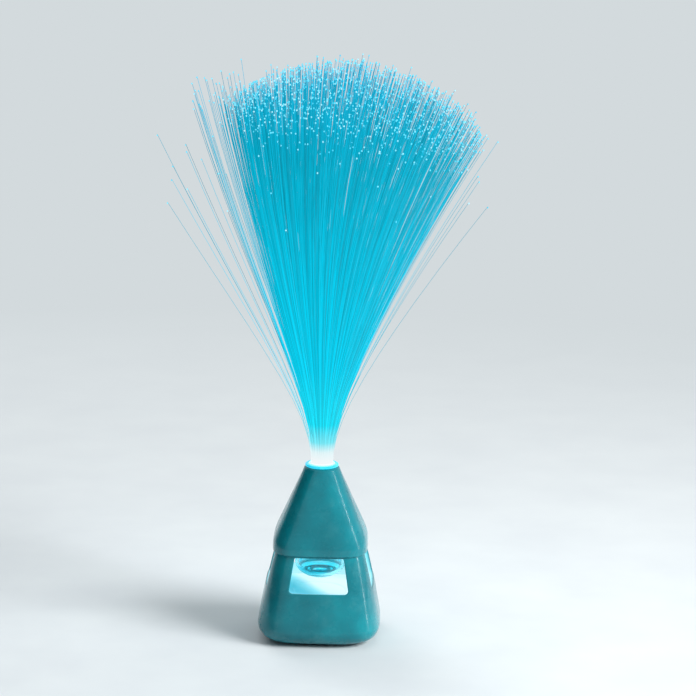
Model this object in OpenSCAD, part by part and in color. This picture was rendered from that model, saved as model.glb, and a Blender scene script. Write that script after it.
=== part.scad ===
// Table-top fibre optic lamp, battery powered.
// A rounded-square base shell with a window in each side stands on four feet. A cone housing lofts
// from the square skirt up to a round collar. A plug of light fibres lifts out of the collar socket.
// A stepped lens hangs from a carrier over a white deck, so that the lamp also glows at its windows.
// Z is up, X points to the right as seen from the front, and the origin is on the table.

/* [Base shell] */
// Width of the base at its widest, flat to flat
base_w = 74.4; // [68:0.4:80]
// Height of the widest level above the table, where the bottom round ends
base_wide_z = 10; // [9:0.5:12]
// Radius of the bottom round
base_round_r = 8.5; // [6:0.5:9]
// Height of the shoulder that carries the cone's skirt
shoulder_z = 55.5; // [53:0.5:60]
// Width of the base shell at the shoulder
shoulder_w = 55; // [54:0.1:56.4]
// How far the tapered sides belly out at mid height
side_belly = 0.6; // [0:0.05:0.8]
// Squareness of the base's outline: 2 is a circle, larger is squarer
base_square = 3.9; // [3.5:0.1:4.5]
// Wall of the mouldings
wall = 1.8; // [1.4:0.1:2.0]
// Height of the plug rim above the shoulder
rim_h = 6.5; // [5:0.5:8]
// Width of each window at its sill
window_w = 36; // [30:0.5:38]
// Width of each window at its head
window_head_w = 29.5; // [26:0.5:31]
// Height of the window sill
sill_z = 33.4; // [31:0.2:36]
// Height of the window head, hidden behind the skirt's shadow line
window_head_z = 54.3; // [50:0.1:54.5]
// Corner radius of the windows
window_r = 2; // [1:0.2:3]

/* [Cone housing] */
// Width of the cone's skirt, which overhangs the base
skirt_w = 57.6; // [57:0.1:59]
// Height of the skirt that keeps its square outline
skirt_band_h = 4; // [2:0.5:5]
// Height of the cone's mouth above the table
cone_top_z = 105; // [102:0.5:108]
// Outer radius of the cone at its mouth
cone_top_r = 10.2; // [10:0.1:11]
// Softness of the curve between the upright skirt and the cone's straight side
cone_soft = 0.7; // [0.4:0.1:1.2]
// How fast the cone's straight side widens downwards
cone_slope = 0.43; // [0.42:0.005:0.44]
// Squareness of the skirt's outline
skirt_square = 4.1; // [3.5:0.1:4.5]

/* [Collar and ferrule] */
// Thickness of the collar's lip
collar_t = 1.6; // [1.2:0.1:2]
// Outer radius of the socket that hangs from the collar
socket_r = 9.1; // [8.9:0.1:9.3]
// Depth of the socket below the cone's mouth
socket_depth = 19; // [15:0.5:22]
// Outer radius of the ferrule
ferrule_r = 8; // [7.9:0.05:8.1]
// Inner radius of the ferrule
ferrule_bore_r = 7.2; // [7.15:0.01:7.25]
// How far the ferrule stands above the collar
ferrule_proud = 0.4; // [0.2:0.1:1]
// Radial clearance of the ferrule in its socket
socket_clear = 0.05; // [0.03:0.01:0.08]
// How far the potting of the fibres stops below the ferrule's mouth
potting_sink = 2.5; // [1:0.5:4]

/* [Fibres] */
// Fibres in each of the three main rings of the bundle
ring_fibres = 92; // [80:1:94]
// Long outer fibres that stray from the fan
stray_fibres_n = 28; // [16:4:28]
// Radius of a fibre
fibre_r = 0.26; // [0.2:0.01:0.27]
// Radius of the bundle's core
core_r = 3.3; // [3.2:0.05:3.4]
// Radius of the ring of fibres round the core
middle_r = 4.9; // [4.8:0.05:5]
// Radius of the whole bundle without the stray fibres
main_r = 6.3; // [6.2:0.05:6.35]
// Height of the fan above the ferrule
fan_h = 247; // [200:1:280]
// Spread of the fan's edge at full height
fan_spread = 102; // [80:1:110]
// Share of the height over which the bundle starts to open
fan_bend = 0.14; // [0.08:0.01:0.2]
// How far the fan leans to the right at full height
fan_lean = 16; // [0:0.5:18]
// How much further the fibres on the leaning side spread, as a share
lean_spread = 0.13; // [0:0.01:0.15]
// How much lower the fibres on the leaning side end, as a share
lean_drop = 0.08; // [0:0.01:0.1]
// How much lower the fibres at the fan's edge end, as a share
edge_drop = 0.11; // [0.05:0.01:0.2]
// Reach of the longest stray fibres from the axis
stray_reach = 101; // [92:1:110]
// Height of the stray fibres' tips, as a share of the fan
stray_tip = 0.80; // [0.7:0.01:0.9]

/* [Lens and light board] */
// Radius of the lens's bowl
lens_r = 15.4; // [14.5:0.1:15.6]
// Height of the bowl's lowest point
lens_bottom_z = 35.2; // [34:0.2:38]
// Height of the bowl's curved part
lens_bowl_h = 9.7; // [8:0.1:12]
// Wall of the lens
lens_wall = 2; // [1.6:0.1:2.4]
// Radius of the step inside the lens
lens_step_r = 9.4; // [8.5:0.1:9.8]
// Radius of the domed boss in the middle of the lens
lens_boss_r = 5.6; // [4.5:0.1:6]
// Radius of the lens's flange
lens_flange_r = 16.9; // [16.6:0.1:17]
// Thickness of the lens's flange
lens_flange_t = 1.5; // [1:0.1:2]
// Thickness of the carrier plate
carrier_t = 1.5; // [1.2:0.1:2]
// Radius of the light board
board_r = 20.3; // [20.2:0.1:20.4]
// Thickness of the light board
board_t = 1.6; // [1:0.2:1.6]
// Height of the reflector cup between the lens and the board
cup_h = 6; // [5:0.5:7]
// Distance of the board's posts from the axis
post_at = 18.8; // [18.7:0.1:18.9]
// Radius of the board's posts
post_r = 1.5; // [1.3:0.1:1.6]
// Side of the square downlight chip
downlight_w = 5; // [4:0.5:5.4]
// Radius of the domed lamp under the bundle
dome_r = 4; // [2.5:0.5:4.5]
// Length of the control chip
chip_l = 4.9; // [4:0.1:5]
// Distance of the control chip's far end from the axis
chip_at = 14; // [12:0.5:15]
// Distance of the resistors' near ends from the axis
resistor_at = 9.5; // [9:0.5:12]

/* [Battery compartment] */
// Diameter of a cell
cell_d = 10.5; // [10:0.1:10.6]
// Length of a cell with its button
cell_l = 44.5; // [43:0.5:45]
// Distance between neighbouring cells
cell_pitch = 11; // [10.8:0.1:11.1]
// Wall of the battery box
box_wall = 1.2; // [1:0.1:1.4]
// Space for the spring at a cell's flat end
spring_space = 3.5; // [3:0.5:4]
// Wire of the battery springs
spring_wire = 0.6; // [0.5:0.05:0.7]
// Radius of a battery spring at its contact
spring_r = 3.3; // [3:0.1:3.6]
// Radius of a battery spring at its cell
spring_tip_r = 1.9; // [1.6:0.1:2.4]
// Turns of a battery spring
spring_turns = 2.5; // [2:0.5:3]
// Thickness of the contact plates
contact_t = 0.5; // [0.3:0.1:0.6]

/* [Base plate, door and switch] */
// Height of the base plate's underside above the table
stand_h = 1.5; // [1:0.1:2]
// Thickness of the base plate
plate_t = 2.4; // [2.2:0.1:2.8]
// Width of the base plate past its opening, left and right
plate_rim = 2.9; // [2.65:0.05:3.15]
// Thickness of the battery door
door_t = 1.4; // [1.2:0.1:1.5]
// Distance of the door's cell rests from its middle
rest_at = 10; // [8:0.5:12]
// Running gap round the battery door
door_gap = 0.15; // [0.1:0.05:0.25]
// Width of the ledge that the door's edges close against
door_ledge = 1.3; // [1:0.1:1.4]
// Distance of the feet and screws from the middle, left and right
foot_x = 16; // [14:0.5:17]
// Distance of the feet and screws from the middle, front and back
foot_y = 21.5; // [21.4:0.1:21.6]
// Radius of a foot
foot_r = 3; // [2.8:0.1:3.1]
// Least width of plate past a foot
foot_rim = 1.6; // [1.2:0.1:1.65]
// Depth of the seat that holds a foot
foot_seat = 0.6; // [0.4:0.1:0.7]
// Distance of the switch from the middle
switch_y = 22.2; // [22:0.1:22.6]
// Travel of the switch
switch_travel = 3; // [2:0.5:3.5]
// Length of the switch's button
knob_l = 4; // [3:0.5:5]
// Width of the switch's button
knob_w = 2.8; // [2.4:0.1:3]
// How far the button stands below the plate
knob_proud = 0.7; // [0.4:0.1:0.8]

/* [Deck, screws and leads] */
// Height of the white deck's upper face
deck_z = 26.5; // [24:0.5:30]
// Thickness of the deck
deck_t = 1.4; // [1.2:0.1:2]
// Radius of the screw bosses
boss_r = 2.9; // [2.6:0.1:3]
// Radius of the bosses inside the cone
cone_boss_r = 2.4; // [2.2:0.1:2.6]
// Radius of the screws' threads
screw_r = 1.1; // [0.9:0.05:1.2]
// Radius of the screws' heads
screw_head_r = 2; // [1.8:0.1:2.1]
// Height of the screws' heads
screw_head_h = 1; // [0.8:0.1:1.1]
// Length of the carrier's screws
carrier_screw_l = 6; // [5:0.5:6]
// Radius of the leads
lead_r = 0.6; // [0.4:0.05:0.65]
// How far a lead runs straight out of the battery box
lead_out = 1.5; // [1:0.1:2]

/* [Hidden] */

outline_steps = 64;         // points round each lofted outline
fit_gap = 0.2;              // gap between parts that plug together
sliver = 0.05;              // gap between parts that nearly touch
reach = 1;                  // how far a cut runs past the face that it opens
plate_z = stand_h;
plate_top_z = plate_z + plate_t;
rim_top_z = shoulder_z + rim_h;
rim_w = skirt_w - 2 * (wall + 2 * fit_gap) - 0.4;
plug_w = rim_w + 2 * fit_gap;
carrier_top_z = rim_top_z + carrier_t;
cup_z = carrier_top_z + lens_flange_t;
board_z = cup_z + cup_h;
board_top_z = board_z + board_t;
socket_z = cone_top_z - socket_depth;
socket_floor_t = 1;
ferrule_z = socket_z + socket_floor_t;
collar_top_z = cone_top_z + collar_t;
fan_z = collar_top_z + ferrule_proud;
plug_top_z = fan_z - potting_sink;

// Half width of the base shell's outside at height z, above its bottom round
function base_half(z) =
    let (s = (z - base_wide_z) / (shoulder_z - base_wide_z))
    base_w / 2 - (base_w - shoulder_w) / 2 * s + 4 * side_belly * s * (1 - s);

// Points of a superellipse outline with half width a and squareness n
function outline(a, n, steps = outline_steps) = [
    for (i = [0:steps - 1])
        let (t = 360 * i / steps, c = cos(t), s = sin(t))
        [a * sign(c) * pow(abs(c), 2 / n), a * sign(s) * pow(abs(s), 2 / n)]
];

// Solid through outlines, each given as [height, half width, squareness]
module loft(stations, steps = outline_steps) {
    last = len(stations) - 1;
    points = [for (s = stations) for (p = outline(s[1], s[2], steps)) [p[0], p[1], s[0]]];
    sides = [
        for (k = [0:last - 1]) for (i = [0:steps - 1])
            let (a = k * steps + i, b = k * steps + (i + 1) % steps)
            each [[a, a + steps, b], [b, a + steps, b + steps]]
    ];
    bottom = [for (i = [0:steps - 1]) i];
    top = [for (i = [0:steps - 1]) (last + 1) * steps - 1 - i];
    polyhedron(points = points, faces = concat([bottom], sides, [top]));
}

// Straight plate with a superellipse outline
module rounded_plate(a, n, z, t) {
    translate([0, 0, z])
        linear_extrude(t)
            polygon(outline(a, n));
}

// Tube along points, with its sections square to the path
function unit(v) = v / norm(v);
function path_tangent(p, i) = unit(p[min(i + 1, len(p) - 1)] - p[max(i - 1, 0)]);
function side_vector(t, up) = unit(cross(t, up));
module tube(path, r, sides, up = [0.31, 0.17, 0.94]) {
    last = len(path) - 1;
    points = [
        for (i = [0:last])
            let (t = path_tangent(path, i), u = side_vector(t, up), v = cross(t, u))
            for (k = [0:sides - 1])
                path[i] + r * (cos(360 * k / sides) * u + sin(360 * k / sides) * v)
    ];
    walls = [
        for (i = [0:last - 1]) for (k = [0:sides - 1])
            let (a = i * sides + k, b = i * sides + (k + 1) % sides)
            each [[a, b, a + sides], [b, b + sides, a + sides]]
    ];
    start = [for (k = [0:sides - 1]) sides - 1 - k];
    finish = [for (k = [0:sides - 1]) last * sides + k];
    polyhedron(points = points, faces = concat([start], walls, [finish]));
}

// Smooth curve through hand-chosen points
function curve_point(a, b, c, d, t) =
    0.5 * (2 * b + (c - a) * t + (2 * a - 5 * b + 4 * c - d) * t * t
        + (3 * b - a - 3 * c + d) * t * t * t);
function smooth_path(p, steps) = concat(
    [for (i = [0:len(p) - 2]) for (k = [0:steps - 1])
        curve_point(p[max(i - 1, 0)], p[i], p[i + 1], p[min(i + 2, len(p) - 1)], k / steps)],
    [p[len(p) - 1]]
);

module each_foot() {
    for (x = [-foot_x, foot_x], y = [-foot_y, foot_y])
        translate([x, y, 0]) children();
}

module each_quarter(turn = 0) {
    for (a = [0:90:270])
        rotate(turn + a) children();
}

// ---------------------------------------------------------------- base shell

boss_top_z = deck_z - deck_t;
head_seat_z = plate_z + foot_seat + sliver + screw_head_h;
base_screw_l = 9;
pin_r = 1.2;
pin_l = 3;

function round_stations(r, lift, n) = [
    for (a = [-90:18:-18])
        [base_wide_z + r * sin(a), base_w / 2 - bottom_r + r * cos(a) - lift, n]
];
side_levels = 5;
function side_stations(inset, top, n) = [
    for (i = [0:side_levels])
        let (z = base_wide_z + (top - base_wide_z) * i / side_levels)
        [z, base_half(z) - inset, n]
];

module base_outside() {
    loft(concat(
        round_stations(bottom_r, 0, base_square),
        side_stations(0, shoulder_z - sliver, base_square),
        [[shoulder_z - sliver + 0.01, rim_w / 2, base_square], [rim_top_z, rim_w / 2, base_square]]
    ));
}

module base_inside() {
    r = bottom_r - wall;
    narrow_z = shoulder_z - 2 * wall;
    loft(concat(
        [[plate_top_z, base_w / 2 - bottom_r + 0.4 * r, base_square]],
        [for (a = [-54:18:-18])
            [base_wide_z + r * sin(a), base_w / 2 - bottom_r + r * cos(a), base_square]],
        side_stations(wall, narrow_z, base_square),
        [[shoulder_z, rim_w / 2 - wall, base_square],
         [rim_top_z + reach, rim_w / 2 - wall, base_square]]
    ));
}

// Window outline with round lower corners, narrower at its head
function window_outline() =
    let (half = window_w / 2, head = window_head_w / 2)
    concat(
        [for (a = [-90:15:0]) [half - window_r + window_r * cos(a), sill_z + window_r + window_r * sin(a)]],
        [for (a = [0:15:90]) [head - window_r / 2 + window_r / 2 * cos(a),
            window_head_z - window_r / 2 + window_r / 2 * sin(a)]],
        [for (a = [90:15:180]) [-head + window_r / 2 + window_r / 2 * cos(a),
            window_head_z - window_r / 2 + window_r / 2 * sin(a)]],
        [for (a = [180:15:270]) [-half + window_r + window_r * cos(a),
            sill_z + window_r + window_r * sin(a)]]
    );

module window_cut() {
    depth = base_w / 2;
    translate([0, -depth / 2, 0])
        rotate([90, 0, 0])
            linear_extrude(depth)
                polygon(window_outline());
}

// Web that ties a screw boss to the front or back wall
module boss_web() {
    web_t = 1.2;
    into = wall / 2;
    low_z = plate_top_z + 2;
    top_z = base_wide_z + 5;
    rotate([90, 0, 90])
        translate([0, 0, -web_t / 2])
            linear_extrude(web_t)
                polygon(concat(
                    [[foot_y, top_z], [foot_y, low_z]],
                    [for (z = [low_z, base_wide_z])
                        [base_half(base_wide_z) - into - 0.08 * (base_wide_z - z), z]],
                    [[base_half(top_z) - into, top_z]]
                ));
}

// Snap lug on the plug rim
lug_w = 7;
lug_h = 1.6;
lug_out = 0.5;
lug_z = rim_top_z - 3.2;
module snap_lug(grow = 0) {
    face = rim_w / 2 - 0.5;
    translate([0, -lug_w / 2 - grow, 0])
        rotate([90, 0, 180])
            mirror([1, 0, 0])
                translate([0, 0, -lug_w - 2 * grow])
                    linear_extrude(lug_w + 2 * grow)
                        polygon([
                            [face, lug_z - grow], [face + 0.5, lug_z - grow],
                            [face + 0.5 + lug_out + grow, lug_z - grow],
                            [face + 0.5, lug_z + lug_h + grow], [face, lug_z + lug_h + grow]
                        ]);
}

module base_shell() {
    color([0.07, 0.50, 0.56])
    difference() {
        union() {
            difference() {
                base_outside();
                base_inside();
                each_quarter() window_cut();
            }
            each_foot()
                translate([0, 0, plate_top_z]) cylinder(r = boss_r, h = boss_top_z - plate_top_z, $fn = 40);
            for (x = [-foot_x, foot_x], s = [0, 1])
                mirror([0, s, 0]) translate([x, 0, 0]) boss_web();
            each_quarter() snap_lug();
        }
        rounded_plate(plate_w / 2 + sliver, base_square, plate_z - reach, plate_t + reach);
        each_foot() {
            translate([0, 0, plate_top_z - reach]) cylinder(r = screw_r + sliver, h = base_screw_l, $fn = 24);
            translate([0, 0, boss_top_z - pin_l]) cylinder(r = pin_r + sliver, h = pin_l + reach, $fn = 24);
        }
    }
}

// ---------------------------------------------------------------- base plate and door

lane_r = cell_d / 2 + 0.35;
cell_z = plate_top_z + 0.1 + cell_d / 2;
box_in_l = cell_l + spring_space + 2 * contact_t + 2 * sliver;
box_l = box_in_l + 2 * box_wall;
box_w = 2 * cell_pitch + 2 * lane_r + 2 * box_wall;
box_top_z = cell_z + lane_r + box_wall;
opening_l = box_in_l - 2 * door_ledge;
opening_w = 2 * cell_pitch + 2 * lane_r - 0.2;
plate_w = max(opening_l + 2 * plate_rim, 2 * (foot_y + foot_r + foot_rim));
bottom_r = min(base_round_r, (base_w - plate_w - wall) / 2);
door_l = opening_l + door_ledge - 2 * door_gap;
door_w = opening_w + 2 * door_ledge - 2 * door_gap;
door_rebate_t = door_t + 0.1;
hinge_x = -opening_l / 2;
hinge_r = door_t / 2;
hinge_axis_x = hinge_x + door_gap + hinge_r;
tab_t = 0.9;
tab_w = 3;
tab_y = cell_pitch / 2;
slot_l = knob_l + switch_travel + 0.4;
slot_w = knob_w + 0.3;
button_x = -switch_travel / 2;

module base_plate() {
    color([0.06, 0.42, 0.48])
    difference() {
        rounded_plate(plate_w / 2, base_square, plate_z, plate_t);
        translate([-opening_l / 2, -opening_w / 2, plate_z - reach])
            cube([opening_l, opening_w, plate_t + 2 * reach]);
        translate([hinge_x, -opening_w / 2 - door_ledge, plate_z - reach])
            cube([opening_l + door_ledge, opening_w + 2 * door_ledge, door_rebate_t + reach]);
        each_foot() {
            translate([0, 0, plate_z - reach]) cylinder(r = foot_r + sliver, h = foot_seat + reach, $fn = 48);
            translate([0, 0, plate_z - reach])
                cylinder(r = screw_head_r + 0.15, h = head_seat_z - plate_z + reach, $fn = 32);
            translate([0, 0, plate_z]) cylinder(r = screw_r + 0.15, h = plate_t + reach, $fn = 24);
        }
        translate([-slot_l / 2, switch_y - slot_w / 2, plate_z - reach])
            cube([slot_l, slot_w, plate_t + 2 * reach]);
    }
}

module battery_door() {
    latch_x = opening_l / 2 - 1.6;
    color([0.06, 0.40, 0.46])
    difference() {
        union() {
            translate([hinge_axis_x, -door_w / 2, plate_z]) cube([door_l - hinge_r, door_w, door_t]);
            translate([hinge_axis_x, 0, plate_z + hinge_r])
                rotate([90, 0, 0]) cylinder(r = hinge_r, h = door_w, center = true, $fn = 32);
            for (y = [-tab_y, tab_y]) {
                translate([hinge_x + door_gap, y - tab_w / 2, plate_z + door_t - sliver])
                    cube([1.2, tab_w, plate_top_z + tab_t + 0.1 - plate_z - door_t + sliver]);
                translate([hinge_x - door_ledge + 0.3, y - tab_w / 2, plate_top_z + 0.1])
                    cube([door_ledge + door_gap + 0.4, tab_w, tab_t]);
                translate([latch_x, y - tab_w / 2 + 0.3, plate_z + door_t - sliver])
                    cube([0.8, tab_w - 0.6, plate_top_z + 1.2 - plate_z - door_t]);
                translate([latch_x + 0.7, y - tab_w / 2 + 0.3, plate_top_z + 0.3])
                    cube([0.5, tab_w - 0.6, 0.8]);
            }
            for (x = [-rest_at, rest_at], y = [-cell_pitch, 0, cell_pitch])
                translate([x - 0.6, y - 2, plate_z + door_t - sliver])
                    cube([1.2, 4, cell_z - cell_d / 2 - plate_z - door_t]);
        }
        for (x = [opening_l / 2 - 7:1.6:opening_l / 2 - 2])
            translate([x, -5, plate_z - reach]) cube([0.8, 10, reach + 0.5]);
    }
}

module battery_box() {
    color([0.16, 0.17, 0.18])
    difference() {
        translate([-box_l / 2, -box_w / 2, plate_top_z]) cube([box_l, box_w, box_top_z - plate_top_z]);
        for (y = [-cell_pitch, 0, cell_pitch]) {
            translate([-box_in_l / 2, y, cell_z])
                rotate([0, 90, 0]) cylinder(r = lane_r, h = box_in_l, $fn = 48);
            translate([-box_in_l / 2, y - lane_r, plate_top_z - reach])
                cube([box_in_l, 2 * lane_r, cell_z - plate_top_z + reach]);
        }
        for (x = [-box_l / 2, box_l / 2], y = [-cell_pitch, cell_pitch])
            translate([x, y, cell_z + 2.2])
                rotate([0, 90, 0]) cylinder(r = lead_r + 0.25, h = 2 * box_wall + 1, center = true, $fn = 24);
        contact(1, -cell_pitch, 0, sliver);
        contact(-1, 0, cell_pitch, sliver);
    }
}

// ---------------------------------------------------------------- cells and contacts

contact_x = box_in_l / 2 - contact_t;

// One cell along X; way = 1 puts its button to the right
module cell(y, way) {
    nub_r = 1.9;
    nub_l = 1.2;
    translate([way * (contact_x - sliver), y, cell_z])
        rotate([0, -90 * way, 0])
            rotate_extrude($fn = 48)
                polygon([
                    [0, 0], [nub_r, 0], [nub_r, nub_l], [cell_d / 2 - 1, nub_l],
                    [cell_d / 2, nub_l + 0.8], [cell_d / 2, cell_l - 0.5], [cell_d / 2 - 0.5, cell_l],
                    [0, cell_l]
                ]);
}

module battery_cell_left() {
    color([0.72, 0.50, 0.22]) cell(-cell_pitch, 1);
}

module battery_cell_middle() {
    color([0.72, 0.50, 0.22]) cell(0, -1);
}

module battery_cell_right() {
    color([0.72, 0.50, 0.22]) cell(cell_pitch, 1);
}

// Conical spring from the contact at side way to the flat end of the cell in that lane
module battery_spring(y, way) {
    ring_steps = 10;
    turns = spring_turns;
    rise = spring_space - 2 * sliver - spring_wire;
    count = ring_steps * turns;
    path = [
        for (i = [0:count])
            let (s = i / count, r = spring_r + (spring_tip_r - spring_r) * s, a = 360 * turns * s)
            [-way * (spring_wire / 2 + sliver + rise * s), r * cos(a), r * sin(a)]
    ];
    translate([way * contact_x, y, cell_z])
        tube(path, spring_wire / 2, 6, [1, 0, 0]);
}

module contact_springs() {
    color([0.75, 0.76, 0.78]) {
        battery_spring(-cell_pitch, -1);
        battery_spring(0, 1);
        battery_spring(cell_pitch, -1);
    }
}

// Stamped contact over the lanes from y0 to y1
module contact(way, y0, y1, grow = 0) {
    half = 3.8 + grow;
    x = way > 0 ? contact_x - grow : -contact_x - contact_t;
    translate([x, y0 - half, cell_z - half])
        cube([contact_t + grow, y1 - y0 + 2 * half, 2 * half]);
}

module contact_plates() {
    color([0.80, 0.78, 0.70]) {
        contact(1, -cell_pitch, 0);
        contact(1, cell_pitch, cell_pitch);
        contact(-1, -cell_pitch, -cell_pitch);
        contact(-1, 0, cell_pitch);
    }
}

// ---------------------------------------------------------------- switch

switch_l = slot_l + 3;
switch_w = 5.4;
switch_h = 4.6;

module switch_body() {
    color([0.62, 0.64, 0.66])
    difference() {
        translate([-switch_l / 2, switch_y - switch_w / 2, plate_top_z]) cube([switch_l, switch_w, switch_h]);
        translate([-slot_l / 2, switch_y - slot_w / 2, plate_top_z - reach])
            cube([slot_l, slot_w, reach + 3]);
    }
}

module switch_button() {
    color([0.10, 0.11, 0.12])
    difference() {
        translate([button_x - knob_l / 2, switch_y - knob_w / 2, plate_z - knob_proud])
            cube([knob_l, knob_w, plate_t + knob_proud + 2.4]);
        for (x = [-1.2:0.8:1.2])
            translate([button_x + x - 0.2, switch_y - knob_w, plate_z - knob_proud - reach])
                cube([0.4, 2 * knob_w, reach + 0.35]);
    }
}

// ---------------------------------------------------------------- feet and screws

module rubber_feet() {
    color([0.10, 0.10, 0.11])
        each_foot()
            rotate_extrude($fn = 48)
                polygon([
                    [0, 0], [foot_r - 0.5, 0], [foot_r, 0.5], [foot_r, plate_z + foot_seat],
                    [0, plate_z + foot_seat]
                ]);
}

// Pan head screw pointing up from z = 0 at the head's lower face
module screw(l) {
    difference() {
        rotate_extrude($fn = 32)
            polygon([
                [0, 0], [screw_head_r - 0.4, 0], [screw_head_r, 0.5], [screw_head_r, screw_head_h],
                [screw_r, screw_head_h], [screw_r, screw_head_h + l - 1], [0.2, screw_head_h + l],
                [0, screw_head_h + l]
            ]);
        for (a = [0, 90])
            rotate(a) translate([-1.1, -0.25, -reach]) cube([2.2, 0.5, reach + 0.6]);
    }
}

module base_screws() {
    color([0.70, 0.71, 0.73])
        each_foot()
            translate([0, 0, head_seat_z - screw_head_h]) screw(base_screw_l - 2);
}

// ---------------------------------------------------------------- deck

lead_hole_x = 20.8;
lead_hole_y = 20.8;

module reflector_deck() {
    half = base_half(deck_z) - wall - 2 * fit_gap;
    color([0.93, 0.96, 0.97]) {
        difference() {
            union() {
                rounded_plate(half, base_square, deck_z - deck_t, deck_t);
                each_foot()
                    translate([0, 0, boss_top_z - pin_l + 0.3]) cylinder(r = pin_r, h = pin_l, $fn = 24);
            }
            translate([0, 0, deck_z - 0.6])
                cylinder(r1 = lens_r, r2 = lens_r + 1.2, h = 0.6 + 0.01, $fn = 64);
            translate([lead_hole_x, lead_hole_y, deck_z - deck_t - reach])
                cylinder(r = 2.4, h = deck_t + 2 * reach, $fn = 32);
        }
    }
}

// ---------------------------------------------------------------- carrier, lens, cup, board

carrier_w = rim_w - 0.8;
cone_boss_at = 23.3;
lead_pass = [19.7, 11.3];

module lens_carrier() {
    color([0.90, 0.92, 0.93])
    difference() {
        union() {
            rounded_plate(carrier_w / 2, base_square, rim_top_z, carrier_t);
            each_quarter()
                translate([post_at, 0, rim_top_z]) cylinder(r = post_r, h = board_z - rim_top_z, $fn = 32);
        }
        translate([0, 0, rim_top_z - reach])
            cylinder(r = lens_r + fit_gap, h = carrier_t + 2 * reach, $fn = 96);
        each_quarter() {
            translate([post_at, 0, carrier_top_z + 1]) cylinder(r = 0.8, h = board_z, $fn = 24);
            rotate(45) translate([cone_boss_at, 0, rim_top_z - reach])
                cylinder(r = screw_r + 0.15, h = carrier_t + 2 * reach, $fn = 24);
        }
        for (p = [lead_pass, [lead_pass[1], lead_pass[0]]])
            translate([p[0], p[1], rim_top_z - reach])
                cylinder(r = lead_r + 0.5, h = carrier_t + 2 * reach, $fn = 24);
    }
}

// Height of an ellipse's lower half at distance x from its axis
function bowl_z(x, half, depth, centre_z) = centre_z - depth * sqrt(max(0, 1 - pow(x / half, 2)));

module crystal_lens() {
    centre_z = lens_bottom_z + lens_bowl_h;
    in_r = lens_r - lens_wall;
    in_h = lens_bowl_h - lens_wall;
    step_z = bowl_z(lens_step_r, in_r, in_h, centre_z);
    floor_z = lens_bottom_z + lens_wall + 1.4;
    steps = 8;
    color([0.45, 0.90, 0.95, 0.6])
        rotate_extrude($fn = 96)
            polygon(concat(
                [for (i = [0:steps]) let (x = lens_r * sin(90 * i / steps))
                    [x, bowl_z(x, lens_r, lens_bowl_h, centre_z)]],
                [[lens_r, carrier_top_z], [lens_flange_r, carrier_top_z], [lens_flange_r, cup_z],
                 [in_r, cup_z]],
                [for (i = [steps:-1:0]) let (x = lens_step_r + (in_r - lens_step_r) * sin(90 * i / steps))
                    [x, bowl_z(x, in_r, in_h, centre_z)]],
                [[lens_step_r - 0.3, floor_z], [lens_boss_r + 1.4, floor_z], [lens_boss_r + 1.2, floor_z + 0.8],
                 [lens_boss_r + 0.4, floor_z + 0.8], [lens_boss_r, floor_z - 0.2]],
                [for (i = [3:-1:0]) let (x = lens_boss_r * i / 4) [x, floor_z + 1 - 1.2 * pow(i / 4, 2)]]
            ));
}

module reflector_cup() {
    mouth_r = lens_r - lens_wall;
    throat_r = downlight_w * 0.9;
    cup_wall = 1;
    color([0.95, 0.96, 0.97])
        rotate_extrude($fn = 96)
            polygon([
                [mouth_r, cup_z], [lens_flange_r, cup_z], [lens_flange_r, cup_z + cup_wall],
                [mouth_r + 0.9, cup_z + cup_wall], [throat_r + cup_wall, board_z - cup_wall],
                [throat_r + cup_wall + 2, board_z - cup_wall], [throat_r + cup_wall + 2, board_z],
                [throat_r, board_z], [throat_r, board_z - cup_wall]
            ]);
}

module light_board() {
    color([0.05, 0.35, 0.20])
    difference() {
        translate([0, 0, board_z]) cylinder(r = board_r, h = board_t, $fn = 96);
        each_quarter()
            translate([post_at, 0, board_z - reach]) cylinder(r = 0.95, h = board_t + 2 * reach, $fn = 24);
    }
}

module downlight_chip() {
    chip_t = 1.4;
    color([0.95, 0.95, 0.85])
    difference() {
        translate([-downlight_w / 2, -downlight_w / 2, board_z - chip_t])
            cube([downlight_w, downlight_w, chip_t]);
        translate([0, 0, board_z - chip_t - reach]) cylinder(r = downlight_w * 0.4, h = reach + 0.5, $fn = 32);
    }
}

// Domed lamp that shines up into the bundle
module fibre_lamp() {
    flange_h = 1.2;
    body_h = ferrule_z - board_top_z - dome_r - 1.6;
    color([0.75, 0.95, 1.0, 0.7])
        translate([0, 0, board_top_z])
            rotate_extrude($fn = 48)
                polygon(concat(
                    [[0, 0], [dome_r + 0.8, 0], [dome_r + 0.8, flange_h], [dome_r, flange_h]],
                    [for (a = [0:15:90]) [dome_r * cos(a), body_h + dome_r * sin(a)]]
                ));
}

module control_chip() {
    color([0.08, 0.08, 0.09])
        translate([-chip_at, -chip_l / 2, board_top_z]) cube([chip_l, 3.9, 1.6]);
}

module resistors() {
    color([0.15, 0.15, 0.17])
        for (y = [-4, 0, 4])
            translate([resistor_at, y - 0.8, board_top_z]) cube([3.2, 1.6, 0.6]);
}

module board_screws() {
    color([0.70, 0.71, 0.73])
        each_quarter()
            translate([post_at, 0, board_top_z])
                rotate_extrude($fn = 32)
                    polygon([
                        [0, -4], [0.75, -3.5], [0.75, 0], [1.8, 0], [1.8, 0.8], [1.3, 1.2], [0, 1.2]
                    ]);
}

module carrier_screws() {
    color([0.70, 0.71, 0.73])
        each_quarter(45)
            translate([cone_boss_at, 0, rim_top_z - screw_head_h]) screw(carrier_screw_l);
}

// ---------------------------------------------------------------- cone housing

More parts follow.
